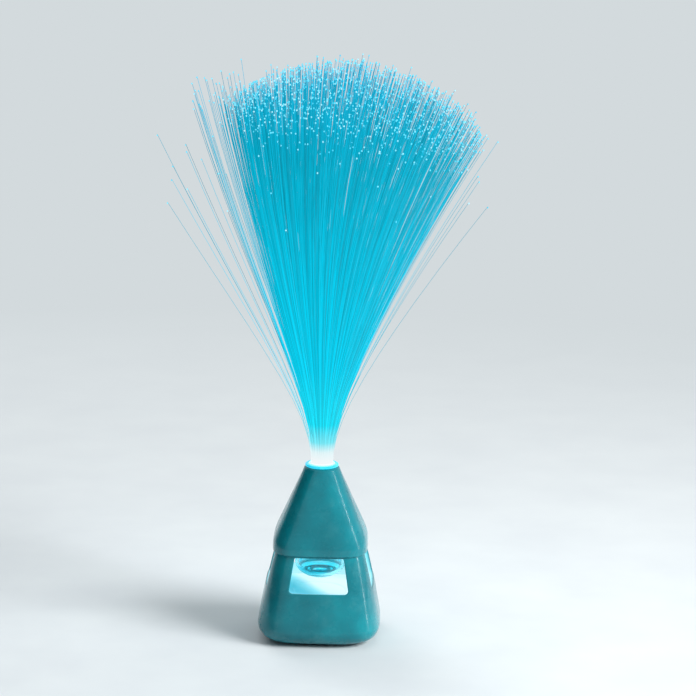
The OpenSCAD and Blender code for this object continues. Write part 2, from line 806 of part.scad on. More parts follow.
// Half width of the cone at height z: the smaller of the skirt and the straight side, softly joined
cone_straight_z = shoulder_z + skirt_band_h;
function cone_half(z) =
    let (line = cone_top_r + cone_slope * (cone_top_z - z), edge = skirt_w / 2)
    edge - cone_soft * ln(1 + exp((edge - line) / cone_soft));
function cone_squareness(z) =
    let (s = max(0, (z - cone_straight_z) / (cone_top_z - cone_straight_z)))
    2 + (skirt_square - 2) * pow(1 - s, 0.85);

cone_levels = 11;
function cone_stations(inset) = [
    for (i = [0:cone_levels])
        let (s = i / cone_levels, z = shoulder_z + 1 + (cone_top_z - shoulder_z - 1) * pow(s, 1.4))
        [z, cone_half(z) - inset, cone_squareness(z)]
];

module cone_outside() {
    loft(concat([[shoulder_z, cone_half(shoulder_z), skirt_square]], cone_stations(0)));
}

module cone_inside() {
    side = [for (s = cone_stations(wall)) if (s[0] > rim_top_z + carrier_t + 1 && s[0] < cone_top_z - 3) s];
    loft(concat(
        [[shoulder_z - reach, plug_w / 2, base_square], [rim_top_z + carrier_t, plug_w / 2, base_square]],
        side,
        [[cone_top_z - 3, socket_r + sliver, 2], [cone_top_z + reach, socket_r + sliver, 2]]
    ));
}

module cone_bosses() {
    intersection() {
        each_quarter(45)
            translate([cone_boss_at, 0, carrier_top_z])
                cylinder(r = cone_boss_r, h = cone_top_z - carrier_top_z, $fn = 32);
        loft(concat([[shoulder_z, cone_half(shoulder_z) - 0.9, skirt_square]], cone_stations(0.9)), 32);
    }
}

module cone_housing() {
    color([0.08, 0.55, 0.62])
    difference() {
        union() {
            difference() {
                cone_outside();
                cone_inside();
                each_quarter() snap_lug(0.15);
            }
            cone_bosses();
        }
        each_quarter(45)
            translate([cone_boss_at, 0, carrier_top_z - reach])
                cylinder(r = screw_r + sliver, h = 6.5 + reach, $fn = 24);
    }
}

// ---------------------------------------------------------------- collar and ferrule

module collar_ring() {
    lip_r = cone_top_r;
    round_r = collar_t / 2;
    bore_r = ferrule_r + socket_clear;
    color([0.15, 0.85, 0.95, 0.85])
        rotate_extrude($fn = 96)
            polygon(concat(
                [[bore_r - 0.7, socket_z], [socket_r, socket_z], [socket_r, cone_top_z]],
                [for (a = [-90:22.5:90])
                    [lip_r - round_r + round_r * cos(a), cone_top_z + round_r + round_r * sin(a)]],
                [[bore_r, collar_top_z], [bore_r, ferrule_z], [bore_r - 0.7, ferrule_z]]
            ));
}

module ferrule() {
    color([0.80, 0.82, 0.84])
        rotate_extrude($fn = 96)
            polygon([
                [ferrule_bore_r, ferrule_z], [ferrule_r - 0.3, ferrule_z], [ferrule_r, ferrule_z + 0.3],
                [ferrule_r, fan_z - 0.3], [ferrule_r - 0.3, fan_z], [ferrule_bore_r, fan_z]
            ]);
}

// ---------------------------------------------------------------- fibres

// The bundle is potted in the ferrule as a core and three rings. Each fibre keeps its own bearing
// and its own place in the order of radii all the way up, so no two of them ever cross.
golden = 137.508;
ring_gap = 0.06;
ring_edges = [0, core_r, middle_r, main_r, ferrule_bore_r - sliver];
levels = [0, 0.10, 0.28];

// How far the fan has opened at share h of its height
function opened(h) = sqrt(h * h + fan_bend * fan_bend) - fan_bend;
function leaned(h) = fan_lean * pow(h, 1.5);
function share(x) = x - floor(x);

function bundle_r(ring, j, n) =
    let (edge = fibre_r + ring_gap, ri = ring_edges[ring] + (ring == 0 ? 0 : edge),
        ro = ring_edges[ring + 1] - edge)
    sqrt(ri * ri + (ro * ro - ri * ri) * (j + 0.5) / n);

// Centre line of a fibre: its seat radius, bearing, spread and the share of the height it reaches
function fibre_line(seat, bearing, spread, tip) = concat(
    [[seat * cos(bearing), seat * sin(bearing), plug_top_z - 0.4]],
    [for (h = concat(levels, [tip]))
        let (r = seat + spread * opened(h))
        [r * cos(bearing) + leaned(h), r * sin(bearing), fan_z + fan_h * h]]
);

// Many fibres as one set of closed three-sided prisms
module strands(lines) {
    sides = 3;
    rings = len(levels) + 2;
    per = sides * rings;
    points = [
        for (line = lines) for (p = line) for (k = [0:sides - 1])
            [p[0] + fibre_r * cos(120 * k), p[1] + fibre_r * sin(120 * k), p[2]]
    ];
    faces = [
        for (m = [0:len(lines) - 1])
            let (base = m * per)
            each concat(
                [[base, base + 1, base + 2]],
                [for (i = [0:rings - 2]) for (k = [0:sides - 1])
                    let (a = base + i * sides + k, b = base + i * sides + (k + 1) % sides)
                    each [[a, a + sides, b], [b, a + sides, b + sides]]],
                [[base + per - 1, base + per - 2, base + per - 3]]
            )
    ];
    polyhedron(points = points, faces = faces);
}

// Slice of the clear potting that holds one ring of fibres
module potting(ring) {
    inner = ring == 0 ? 0 : ring_edges[ring] + ring_gap / 2;
    translate([0, 0, ferrule_z])
        difference() {
            cylinder(r = ring_edges[ring + 1] - ring_gap / 2, h = plug_top_z - ferrule_z, $fn = 64);
            if (inner > 0)
                translate([0, 0, -reach])
                    cylinder(r = inner, h = plug_top_z - ferrule_z + 2 * reach, $fn = 64);
        }
}

tiers = [0, 0.02, 0.045, 0.07, 0.10];
function main_lines(ring) = [
    for (j = [0:ring_fibres - 1])
        let (
            i = ring * ring_fibres + j,
            seat = bundle_r(ring, j, ring_fibres),
            u = seat / ring_edges[3],
            right = cos(i * golden),
            tier = tiers[floor(5 * share(i * 0.7548))],
            tip = (1 - edge_drop * u * u - lean_drop * u * max(0, right)) * (1 - tier)
        )
        fibre_line(seat, i * golden, fan_spread * u * (1 + lean_spread * right), tip)
];

// Every quarter turn one stray reaches the full distance, which keeps the fan's box centred
function stray_lines() = [
    for (j = [0:stray_fibres_n - 1])
        let (
            bearing = 360 * j / stray_fibres_n,
            full = j % (stray_fibres_n / 4) == 0,
            tip = full ? stray_tip : stray_tip * (0.86 + 0.2 * share(j * 0.618)),
            ask = full ? stray_reach : stray_reach * (0.86 + 0.1 * share(j * 0.382)),
            seat = (ring_edges[3] + ring_edges[4]) / 2,
            r = ask - fibre_r - leaned(tip) * cos(bearing)
        )
        fibre_line(seat, bearing, (r - seat) / opened(tip), tip)
];

module core_fibres() {
    color([0.45, 0.97, 1.0]) {
        potting(0);
        strands(main_lines(0));
    }
}

module middle_fibres() {
    color([0.20, 0.90, 1.0]) {
        potting(1);
        strands(main_lines(1));
    }
}

module outer_fibres() {
    color([0.0, 0.80, 0.93]) {
        potting(2);
        strands(main_lines(2));
    }
}

module stray_fibres() {
    color([0.0, 0.70, 0.85]) {
        potting(3);
        strands(stray_lines());
    }
}

// ---------------------------------------------------------------- leads

tab_z = cell_z + 2.2;
lead_start = box_in_l / 2 + sliver;
lead_bend = lead_start + lead_out;
switch_tab_z = plate_top_z + switch_h + sliver;
board_tab_z = board_z - sliver;
route_positive = [
    [lead_start, cell_pitch, tab_z], [lead_bend, cell_pitch, tab_z], [lead_bend + 1.5, 12, 12.6],
    [lead_bend + 1.3, 15, 17],
    [23.6, 19.2, 22.5], [21.6, 20.0, 26], [21.3, 19.9, 34], [20.7, 19.4, 45], [19.3, 17.9, 56],
    [19.7, 12.2, 60.5], [lead_pass[0], lead_pass[1], carrier_top_z], [17.2, 9.8, 67], [16.9, 9.7, 69],
    [16.9, 9.7, board_tab_z]
];
route_switched = [
    [3.2, switch_y + 1.6, switch_tab_z], [3.2, switch_y + 1.6, 9.8], [4, 25.4, 12], [9, 26.8, 16],
    [15.5, 26.6, 18.4], [19.4, 24.2, 21.5], [20.0, 21.6, 26], [19.9, 21.3, 34], [19.4, 20.7, 45],
    [17.9, 19.3, 56], [12.2, 19.7, 60.5], [lead_pass[1], lead_pass[0], carrier_top_z], [9.8, 17.2, 67],
    [9.7, 16.9, 69], [9.7, 16.9, board_tab_z]
];
route_negative = [
    [-lead_start, -cell_pitch, tab_z], [-lead_bend, -cell_pitch, tab_z], [-lead_bend - 2.1, -9.5, 12.8],
    [-lead_bend - 2.3, -3, 14], [-lead_bend - 2.3, 6, 14.6], [-lead_bend - 1.1, 15, 16],
    [-22.5, 22.8, 17.8], [-16, 26.6, 18.4], [-9, 26.8, 15.6],
    [-4, 25.4, 12], [-3.2, switch_y + 1.6, 9.8], [-3.2, switch_y + 1.6, switch_tab_z]
];

module lead_positive() {
    color([0.75, 0.10, 0.08]) tube(smooth_path(route_positive, 3), lead_r, 8, [0.6, -0.8, 0]);
}

module lead_switched() {
    color([0.85, 0.65, 0.10]) tube(smooth_path(route_switched, 3), lead_r, 8, [0.8, -0.6, 0]);
}

module lead_negative() {
    color([0.10, 0.10, 0.11]) tube(smooth_path(route_negative, 4), lead_r, 8, [0.2, 0.3, 0.93]);
}

base_shell();
base_plate();
battery_box();
battery_door();
battery_cell_left();
battery_cell_middle();
battery_cell_right();
contact_springs();
contact_plates();
switch_body();
switch_button();
rubber_feet();
base_screws();
reflector_deck();
lens_carrier();
crystal_lens();
reflector_cup();
light_board();
downlight_chip();
fibre_lamp();
control_chip();
resistors();
board_screws();
carrier_screws();
cone_housing();
collar_ring();
ferrule();
core_fibres();
middle_fibres();
outer_fibres();
stray_fibres();
lead_positive();
lead_switched();
lead_negative();
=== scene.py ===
# %% [markdown]
# # A fibre optic lamp
# The real lamp is a small battery lamp: a glossy moulded base with a window in each side, a cone
# that lofts from the square base to a round collar, and a spray of drawn acrylic fibres. This script
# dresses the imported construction. Every piece keeps the place and the size that the frame gives.
# Sizes are in millimetres in the lamp's own measures, and in metres in the scene.

# %% Load the frame
import math
import bmesh
import bpy
import numpy as np
from mathutils import Matrix, Vector


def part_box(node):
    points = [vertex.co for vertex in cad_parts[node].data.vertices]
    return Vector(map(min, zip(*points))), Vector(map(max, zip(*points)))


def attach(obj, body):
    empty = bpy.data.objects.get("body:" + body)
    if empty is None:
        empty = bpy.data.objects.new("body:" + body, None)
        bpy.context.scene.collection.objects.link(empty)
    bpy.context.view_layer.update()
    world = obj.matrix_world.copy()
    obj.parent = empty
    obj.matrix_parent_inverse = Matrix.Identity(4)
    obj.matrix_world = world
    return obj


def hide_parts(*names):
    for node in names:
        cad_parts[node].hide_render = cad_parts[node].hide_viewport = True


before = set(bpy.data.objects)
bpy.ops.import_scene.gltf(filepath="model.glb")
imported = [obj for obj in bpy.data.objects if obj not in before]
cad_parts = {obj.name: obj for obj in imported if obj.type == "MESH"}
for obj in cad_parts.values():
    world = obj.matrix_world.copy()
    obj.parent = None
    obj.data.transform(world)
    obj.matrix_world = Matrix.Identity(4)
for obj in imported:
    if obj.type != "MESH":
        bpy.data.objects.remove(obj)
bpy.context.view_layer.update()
MM = 0.001
print("nodes in the frame:", len(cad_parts))

# %% [markdown]
# ## Camera
# The photograph was taken from about one and a half metres with a long lens, a little above the
# collar. The lens's length and the small shift were worked out by fitting the lamp's outline, so the
# fan, the cone and the base all fall where the photograph has them.

# %% Camera
PHOTO_SIZE = 696
SENSOR = 36.0
FOCAL_PIXELS = 2592.6
CAMERA_AZIMUTH, CAMERA_ELEVATION, CAMERA_ROLL = 1.49, 12.82, 0.95
CAMERA_DISTANCE = 1.557
TARGET_HEIGHT = 0.1654
TARGET_PIXEL = (323.5, 368.2)


def camera_axes(azimuth, elevation, roll):
    """Right, up and back of a camera whose back is (sin a cos e, -cos a cos e, sin e), then rolled."""
    a, e, r = (math.radians(v) for v in (azimuth, elevation, roll))
    back = Vector((math.sin(a) * math.cos(e), -math.cos(a) * math.cos(e), math.sin(e)))
    level = Vector((math.cos(a), math.sin(a), 0.0))
    upright = back.cross(level)
    right = level * math.cos(r) + upright * math.sin(r)
    return right, upright * math.cos(r) - level * math.sin(r), back


camera = bpy.data.objects.new("camera", bpy.data.cameras.new("camera"))
bpy.context.scene.collection.objects.link(camera)
right, up, back = camera_axes(CAMERA_AZIMUTH, CAMERA_ELEVATION, CAMERA_ROLL)
turn = Matrix((right, up, back)).transposed().to_4x4()
stand = Vector((0, 0, TARGET_HEIGHT)) + back * CAMERA_DISTANCE
camera.matrix_world = Matrix.Translation(stand) @ turn
camera.data.sensor_width = SENSOR
camera.data.lens = FOCAL_PIXELS / PHOTO_SIZE * SENSOR
camera.data.shift_x = (PHOTO_SIZE / 2 - TARGET_PIXEL[0]) / PHOTO_SIZE
camera.data.shift_y = (TARGET_PIXEL[1] - PHOTO_SIZE / 2) / PHOTO_SIZE
bpy.context.scene.camera = camera
print("lens", round(camera.data.lens, 1), "mm, shift",
      round(camera.data.shift_x, 4), round(camera.data.shift_y, 4))

# %% [markdown]
# ## Tools for surfaces
# A surface could be pushed into shape from a cube, but then its sizes are only as good as the eye.
# Here each new piece is one or more grids of points, computed as whole arrays from the lamp's sizes.
# A closed grid joins its last column to its first. Grids that share a border are welded by merging
# the points that coincide.

# %% Tools for surfaces
WELD, SPECK = 2e-6, 1e-6


def grid_faces(rows, columns, closed, start=0):
    """Quads between neighbouring rows and columns of a grid whose points are numbered row by row."""
    last = columns if closed else columns - 1
    r, c = np.meshgrid(np.arange(rows - 1), np.arange(last), indexing="ij")
    n = (c + 1) % columns
    below, above = r * columns, (r + 1) * columns
    return np.stack([below + c, below + n, above + n, above + c], axis=-1).reshape(-1, 4) + start


def place_object(name, mesh, material):
    """Object at the origin for a mesh, in the scene, with its material."""
    made = bpy.data.objects.new(name, mesh)
    bpy.context.scene.collection.objects.link(made)
    made.data.materials.append(material)
    return made


def make_piece(name, grids, body, material, replaces=(), smooth=True):
    """Mesh from a list of (points in mm, closed) grids, welded, turned outwards, riding on a body."""
    points, faces, start = [], [], 0
    for grid, closed in grids:
        rows, columns = grid.shape[:2]
        points.append(grid.reshape(-1, 3))
        faces.append(grid_faces(rows, columns, closed, start))
        start += rows * columns
    mesh = bpy.data.meshes.new(name)
    mesh.from_pydata((np.concatenate(points) * MM).tolist(), [], np.concatenate(faces).tolist())
    work = bmesh.new()
    work.from_mesh(mesh)
    bmesh.ops.remove_doubles(work, verts=work.verts, dist=WELD)
    bmesh.ops.dissolve_degenerate(work, edges=work.edges, dist=SPECK)
    bmesh.ops.recalc_face_normals(work, faces=work.faces)
    work.to_mesh(mesh)
    work.free()
    if smooth:
        mesh.shade_smooth()
    else:
        mesh.shade_flat()
    piece = place_object(name, mesh, material)
    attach(piece, body)
    if replaces:
        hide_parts(*replaces)
    print(name, len(mesh.polygons), "faces")
    return piece


print("a closed grid of 3 by 4 points has", len(grid_faces(3, 4, True)), "faces")

# %% [markdown]
# ## Tools for materials
# Colours are written as sRGB hex values, as a picture editor shows them, and turned to linear light.
# One function sets a node's sockets and one adds a node, and both take every kind of node. A noise
# texture hardly ever leaves 0.3 to 0.7, so that span is stretched to the whole range.

# %% Tools for materials
NOISE_SPAN = {"From Min": 0.3, "From Max": 0.7}


def linear(hex_colour):
    """Linear RGBA of an sRGB hex colour: c/12.92 below 0.04045, else ((c + 0.055)/1.055)^2.4."""
    srgb = [int(hex_colour[i:i + 2], 16) / 255 for i in (1, 3, 5)]
    light = [c / 12.92 if c <= 0.04045 else ((c + 0.055) / 1.055) ** 2.4 for c in srgb]
    return (*light, 1.0)


def wire(tree, node, sockets):
    """Each socket takes another node's output as a link, a hex colour as linear light, or a value."""
    for socket, value in sockets.items():
        if isinstance(value, bpy.types.NodeSocket):
            tree.links.new(value, node.inputs[socket])
        else:
            value = linear(value) if isinstance(value, str) else value
            node.inputs[socket].default_value = value


def add(tree, kind, output, sockets=None, stops=(), **settings):
    """New node with its settings, its sockets and a ramp's (place, hex) stops; gives one output."""
    made = tree.nodes.new(kind)
    for name, value in settings.items():
        setattr(made, name, value)
    wire(tree, made, sockets or {})
    if stops:
        band = made.color_ramp.elements
        while len(band) < len(stops):
            band.new(0.5)
        for element, (place, colour) in zip(band, stops):
            element.position = place
            element.color = linear(colour)
    return made.outputs[output]


def new_material(name):
    """Material with its node tree and its Principled shader."""
    material = bpy.data.materials.new(name)
    material.use_nodes = True
    return material, material.node_tree, material.node_tree.nodes["Principled BSDF"]


def per_metre(size_mm):
    """Scale of a texture whose features are this many millimetres apart: one over the size in metres."""
    return 1 / (size_mm * MM)


print("sRGB #808080 is", round(linear("#808080")[0], 3), "in linear light")

# %% [markdown]
# ## Glossy moulded ABS
# The base and the cone are injection-moulded ABS, polished in the mould and dyed teal. Polished ABS has
# an IOR of 1.54 and a thin clear sheen. It isn't perfectly flat: shrinkage leaves an orange peel about
# 4 mm across, handling leaves duller places, and the dye runs a little darker in places. Paler patches
# are painted into the colour for the mottled reflections on the gloss. The walls that the downlight
# reaches could be lit by a real lamp inside, but thin walls then leak light. Here an attribute marks
# those walls and they glow with painted light, so that none of it shows on the outside.

# %% Glossy moulded ABS
DECK_Z, SHOULDER_Z = 26.5, 55.5
DYE_CLOUD_MM, REFLECTION_MOTTLE_MM, SMEAR_MM, PEEL_MM, PEEL_DEPTH_MM = 26.0, 11.0, 9.0, 4.0, 0.012


def glossy_abs():
    """Dyed ABS, cloudy, with paler patches of painted reflection, that glows where the attribute lit is
    1.
    """
    material, tree, shader = new_material("polished_teal_abs")
    place = add(tree, "ShaderNodeTexCoord", "Object")
    cloud = add(tree, "ShaderNodeTexNoise", "Fac",
                {"Vector": place, "Scale": per_metre(DYE_CLOUD_MM), "Detail": 4.0})
    shade = add(tree, "ShaderNodeMapRange", "Result", {"Value": cloud, **NOISE_SPAN})
    dyed = add(tree, "ShaderNodeValToRGB", "Color", {"Fac": shade},
               [(0.0, "#006A75"), (0.55, "#007985"), (1.0, "#008A95")])
    # Paler patches painted into the colour as the mottled reflections on the gloss.
    reflection_mottle = add(tree, "ShaderNodeTexNoise", "Fac",
                 {"Vector": place, "Scale": per_metre(REFLECTION_MOTTLE_MM), "Detail": 9.0, "Roughness": 0.72})
    painted_reflection = add(tree, "ShaderNodeMapRange", "Result",
               {"Value": reflection_mottle, "From Min": 0.52, "From Max": 0.64, "To Max": 0.3})
    dye_and_reflection = add(tree, "ShaderNodeMix", "Result", {"Factor": painted_reflection, "A": dyed, "B": "#3F8F97"},
               data_type="RGBA")
    height = add(tree, "ShaderNodeSeparateXYZ", "Z", {"Vector": place})
    up_wall = add(tree, "ShaderNodeMapRange", "Result",
                  {"Value": height, "From Min": DECK_Z * MM, "From Max": SHOULDER_Z * MM})
    glow = add(tree, "ShaderNodeValToRGB", "Color", {"Fac": up_wall},
               [(0.0, "#C4F6FD"), (0.4, "#9EEFFA"), (1.0, "#4CDCEE")])
    lit = add(tree, "ShaderNodeAttribute", "Fac", attribute_name="lit")
    colour = add(tree, "ShaderNodeMix", "Result", {"Factor": lit, "A": dye_and_reflection, "B": "#1E8595"},
                 data_type="RGBA")
    shine = add(tree, "ShaderNodeMix", "Result", {"Factor": lit, "A": "#000000", "B": glow},
                data_type="RGBA")
    smear = add(tree, "ShaderNodeTexNoise", "Fac",
                {"Vector": place, "Scale": per_metre(SMEAR_MM), "Detail": 6.0})
    dullness = add(tree, "ShaderNodeMapRange", "Result",
                   {"Value": smear, **NOISE_SPAN, "To Min": 0.20, "To Max": 0.34})
    peel = add(tree, "ShaderNodeTexNoise", "Fac",
               {"Vector": place, "Scale": per_metre(PEEL_MM), "Detail": 2.0})
    uneven = add(tree, "ShaderNodeBump", "Normal", {"Height": peel, "Distance": PEEL_DEPTH_MM * MM})
    wire(tree, shader, {
        "IOR": 1.54, "Specular IOR Level": 0.25, "Coat Weight": 0.35, "Coat Roughness": 0.03,
        "Base Color": colour, "Roughness": dullness, "Normal": uneven,
        "Emission Color": shine, "Emission Strength": 0.8})
    return material


HOUSING = glossy_abs()
print(HOUSING.name, len(HOUSING.node_tree.nodes), "nodes")

# %% [markdown]
# ## Base shell
# The base is a shell 1.8 mm thick whose outline is a superellipse: a square with soft sides and round
# corners. Its sides taper and belly slightly. It could be a box with bevelled edges, but a bevel's
# side stays flat, and this one swells. So its half width is a function of height, and each side is a
# function of the place across it and the height.

# %% Base shell: its measures
BASE_WIDTH, SHOULDER_WIDTH = 74.4, 55.0
WIDE_Z, RIM_TOP_Z = 10.0, 62.0
ROUND_R, WALL, BELLY, SQUARE = 8.5, 1.8, 0.6, 3.9
CORNER = 2 ** (-1 / SQUARE)
SIDE_STEPS, CROWDED = 44, 0.3


def base_half(z):
    """Half width of the outside at height z: a straight taper plus a parabola for the belly."""
    s = (z - WIDE_Z) / (SHOULDER_Z - WIDE_Z)
    return BASE_WIDTH / 2 - (BASE_WIDTH - SHOULDER_WIDTH) / 2 * s + 4 * BELLY * s * (1 - s)


def on_side(x, z, half):
    """Point of the front side at x and z: y is minus the n-th root of half^n - |x|^n."""
    y = -(np.maximum(half ** SQUARE - np.abs(x) ** SQUARE, 0)) ** (1 / SQUARE)
    return np.stack(np.broadcast_arrays(x, y, z), axis=-1)


def side_steps():
    """Shares across a side from corner to corner, (1 + c) w - c w^3, closer together at the corners."""
    w = np.linspace(-1, 1, SIDE_STEPS + 1)
    return (1 + CROWDED) * w - CROWDED * w ** 3


print("base", round(2 * base_half(WIDE_Z), 1), "mm wide at its widest and",
      round(2 * base_half(SHOULDER_Z), 1), "mm at the shoulder")

# %% [markdown]
# ### The window's outline
# Each window is a trapezoid with round corners, wider at the sill than at the head. Its outline is
# walked in four runs, one for each edge of the side that it is cut in, with as many points in each
# run as that edge has. So each point of the window has its own partner on the border.

# %% Base shell: the window's outline
SILL_Z, HEAD_Z, SILL_HALF, HEAD_HALF = 33.4, 54.3, 18.0, 14.75
SILL_R, HEAD_R, LIP_R = 2.0, 1.0, 0.45
ROUND_STEPS = 9


def arc(centre, radius, start, end, steps):
    """Points of a round, centre + radius (cos a, sin a), from one angle to another in degrees."""
    a = np.radians(np.linspace(start, end, steps))
    return np.column_stack([centre[0] + radius * np.cos(a), centre[1] + radius * np.sin(a)])


def window_loop(offset):
    """Window outline, grown by offset, as four even runs that each go from mid corner to mid corner."""
    lean = math.degrees(math.atan2(SILL_HALF - HEAD_HALF, HEAD_Z - SILL_Z))
    tilt = math.sin(math.radians(lean))
    low = (SILL_HALF - SILL_R * (1 + tilt), SILL_Z + SILL_R)
    high = (HEAD_HALF - HEAD_R * (1 - tilt), HEAD_Z - HEAD_R)
    corners = [((-low[0], low[1]), SILL_R, 180 - lean, 270), (low, SILL_R, 270, 360 + lean),
               (high, HEAD_R, lean, 90), ((-high[0], high[1]), HEAD_R, 90, 180 - lean)]
    runs = []
    for (c0, r0, a0, b0), (c1, r1, a1, b1) in zip(corners, corners[1:] + corners[:1]):
        line = np.vstack([arc(c0, r0 + offset, (a0 + b0) / 2, b0, ROUND_STEPS),
                          arc(c1, r1 + offset, a1, (a1 + b1) / 2, ROUND_STEPS)])
        length = np.concatenate([[0], np.cumsum(np.hypot(*np.diff(line, axis=0).T))])
        at = np.linspace(0, length[-1], SIDE_STEPS, endpoint=False)
        runs.append(np.column_stack([np.interp(at, length, line[:, 0]),
                                     np.interp(at, length, line[:, 1])]))
    return np.vstack(runs)


window = window_loop(0)
print("window", window.shape[0], "points,", np.round(np.ptp(window, axis=0), 1), "mm wide and high")

# %% [markdown]
# ### The sides with their windows
# A boolean cut would leave a rough edge. So each side is one grid: it runs from the side's border in
# to the window, rolls over its lip, crosses the wall and runs out again over the inside.

# %% Base shell: the sides
PANEL_LOW_Z, PANEL_HIGH_Z = 27.0, 55.1
OUTSIDE_ROWS, LIP_ROWS, INSIDE_ROWS = 12, 6, 10


def side_border():
    """Border of a side as shares across and heights, in the order of the window's four runs."""
    across = side_steps()[:-1]
    rise = np.linspace(PANEL_LOW_Z, PANEL_HIGH_Z, SIDE_STEPS, endpoint=False)
    flat = np.ones(SIDE_STEPS)
    heights = [PANEL_LOW_Z * flat, rise, PANEL_HIGH_Z * flat, PANEL_HIGH_Z + PANEL_LOW_Z - rise]
    return np.concatenate([across, flat, -across, -flat]), np.concatenate(heights)


def wall_rows(inset, shares):
    """Straight blend from the window at share 0 to the side's border at share 1, inset in the wall."""
    border_v, border_z = side_border()
    edge = window_loop(LIP_R)
    edge_v = edge[:, 0] / ((base_half(edge[:, 1]) - inset) * CORNER)
    k = shares[:, None]
    v, z = edge_v * (1 - k) + border_v * k, edge[:, 1] * (1 - k) + border_z * k
    half = base_half(z) - inset
    return on_side(v * half * CORNER, z, half)


def lip_ring(offset, inset, depth):
    """The window's outline, grown by offset, on the wall at this inset and moved back by depth."""
    loop = window_loop(offset)
    points = on_side(loop[:, 0], loop[:, 1], base_half(loop[:, 1]) - inset)
    points[:, 1] += depth
    return points


def window_panel():
    """One side: outside, quarter round of the lip, wall, quarter round again and inside, as one grid."""
    roll = np.radians(np.linspace(0, 90, LIP_ROWS))
    outer_lip = [lip_ring(LIP_R * (1 - np.sin(a)), 0, LIP_R * (1 - np.cos(a))) for a in roll[1:]]
    inner_lip = [lip_ring(LIP_R * (1 - np.cos(a)), WALL, -LIP_R * (1 - np.sin(a))) for a in roll]
    outside = wall_rows(0, np.linspace(1, 0, OUTSIDE_ROWS))
    inside = wall_rows(WALL, np.linspace(0, 1, INSIDE_ROWS)[1:])
    return np.concatenate([outside, np.array(outer_lip), np.array(inner_lip), inside])


panel = window_panel()
print("one side is a grid of", panel.shape[0], "by", panel.shape[1], "points")

# %% [markdown]
# ### The bands below and above
# A band below the windows takes in the big round at the bottom, the edge that the bottom cover sits
# in and the inside. A band above makes the shoulder and the rim that carries the cone. Both are
# profiles carried round the same superellipse, so their borders weld to the sides.

# %% Base shell: the bands and the whole
STAND_Z, PLATE_TOP_Z, PLATE_OPENING, PLATE_LEDGE = 1.5, 3.9, 26.2, 2.5
RIM_HALF, RIM_STEP = 26.4, 1.5
EDGE_R = 0.2


def quarter_turns(points):
    """The same grid at 0, 90, 180 and 270 degrees about the lamp's axis: (x, y) becomes (-y, x)."""
    x, y, z = points[..., 0], points[..., 1], points[..., 2]
    return [np.stack(p, axis=-1) for p in ((x, y, z), (-y, x, z), (-x, -y, z), (y, -x, z))]


def side_band(profile):
    """Quarter of a band round the shell from (half width, height) pairs."""
    half, z = profile[:, :1], profile[:, 1:]
    return on_side(side_steps() * half * CORNER, z, half)


def side_run(start, end, inset, steps):
    """(half width, height) pairs down or up the side, inset in the wall."""
    z = np.linspace(start, end, steps)
    return np.column_stack([base_half(z) - inset, z])


def low_band():
    """Profile from the inside wall down to the cover's ledge, round the stand and up the outside."""
    centre = (BASE_WIDTH / 2 - ROUND_R, WIDE_Z)
    return np.vstack([
        side_run(PANEL_LOW_Z, WIDE_Z, WALL, 12), arc(centre, ROUND_R - WALL, 0, -60, 10)[1:],
        [[PLATE_OPENING + PLATE_LEDGE, PLATE_TOP_Z], [PLATE_OPENING, PLATE_TOP_Z]],
        arc((PLATE_OPENING + EDGE_R, STAND_Z + EDGE_R), EDGE_R, 180, 270, 4),
        arc(centre, ROUND_R, -90, 0, 18), side_run(WIDE_Z, PANEL_LOW_Z, 0, 14)[1:]])


def high_band():
    """Profile from the outside over the shoulder, up and over the rim and down the inside."""
    shoulder, rim_in = SHOULDER_WIDTH / 2, RIM_HALF - WALL
    return np.vstack([
        [[base_half(PANEL_HIGH_Z), PANEL_HIGH_Z]],
        arc((shoulder - EDGE_R, SHOULDER_Z - EDGE_R), EDGE_R, 0, 90, 4),
        [[RIM_HALF, SHOULDER_Z]], arc((RIM_HALF - EDGE_R, RIM_TOP_Z - EDGE_R), EDGE_R, 0, 90, 4),
        arc((rim_in + EDGE_R, RIM_TOP_Z - EDGE_R), EDGE_R, 90, 180, 4),
        [[rim_in, SHOULDER_Z + RIM_STEP]],
        [[base_half(PANEL_HIGH_Z) - WALL, PANEL_HIGH_Z]]])


base_grids = [(turned, closed)
              for grid, closed in ((panel, True), (side_band(low_band()), False),
                                   (side_band(high_band()), False))
              for turned in quarter_turns(grid)]
base_piece = make_piece("base_moulding", base_grids, "lamp_base", HOUSING,
                        ["base_shell"])

# %% [markdown]
# ### The walls that the light reaches
# Each point's depth into the wall is worked out from the same formula as the wall. The attribute is 0
# on the outside and 1 on the inside between the deck and the shoulder, and the ABS glows by it.

# %% Base shell: its lit walls
LIT_FROM, LIT_OVER = 0.15, 0.6
LIT_LOW_Z, LIT_HIGH_Z = DECK_Z - 3, SHOULDER_Z - 0.5


def mark_lit_wall(piece):
    """Attribute lit: (half width of the outside - the point's own half width) / wall, made steeper."""
    place = np.empty(3 * len(piece.data.vertices))
    piece.data.vertices.foreach_get("co", place)
    x, y, z = place.reshape(-1, 3).T / MM
    width = (np.abs(x) ** SQUARE + np.abs(y) ** SQUARE) ** (1 / SQUARE)
    depth = (base_half(z) - width) / WALL
    lit = np.clip((depth - LIT_FROM) / LIT_OVER, 0, 1)
    lit = lit * (z > LIT_LOW_Z) * (z < LIT_HIGH_Z)
    values = piece.data.attributes.new("lit", "FLOAT", "POINT").data
    values.foreach_set("value", lit.astype(np.float32))
    print("lit wall points:", int((lit > 0.5).sum()))


mark_lit_wall(base_piece)

# %% [markdown]
# ## Cone housing
# The cone is a loft: its outline goes from a rounded square at the skirt to a circle at the mouth. It
# could be skinned between two drawn outlines, but then the change between them is left to chance. The
# half width and the squareness are functions of height, so the whole wall is one grid.

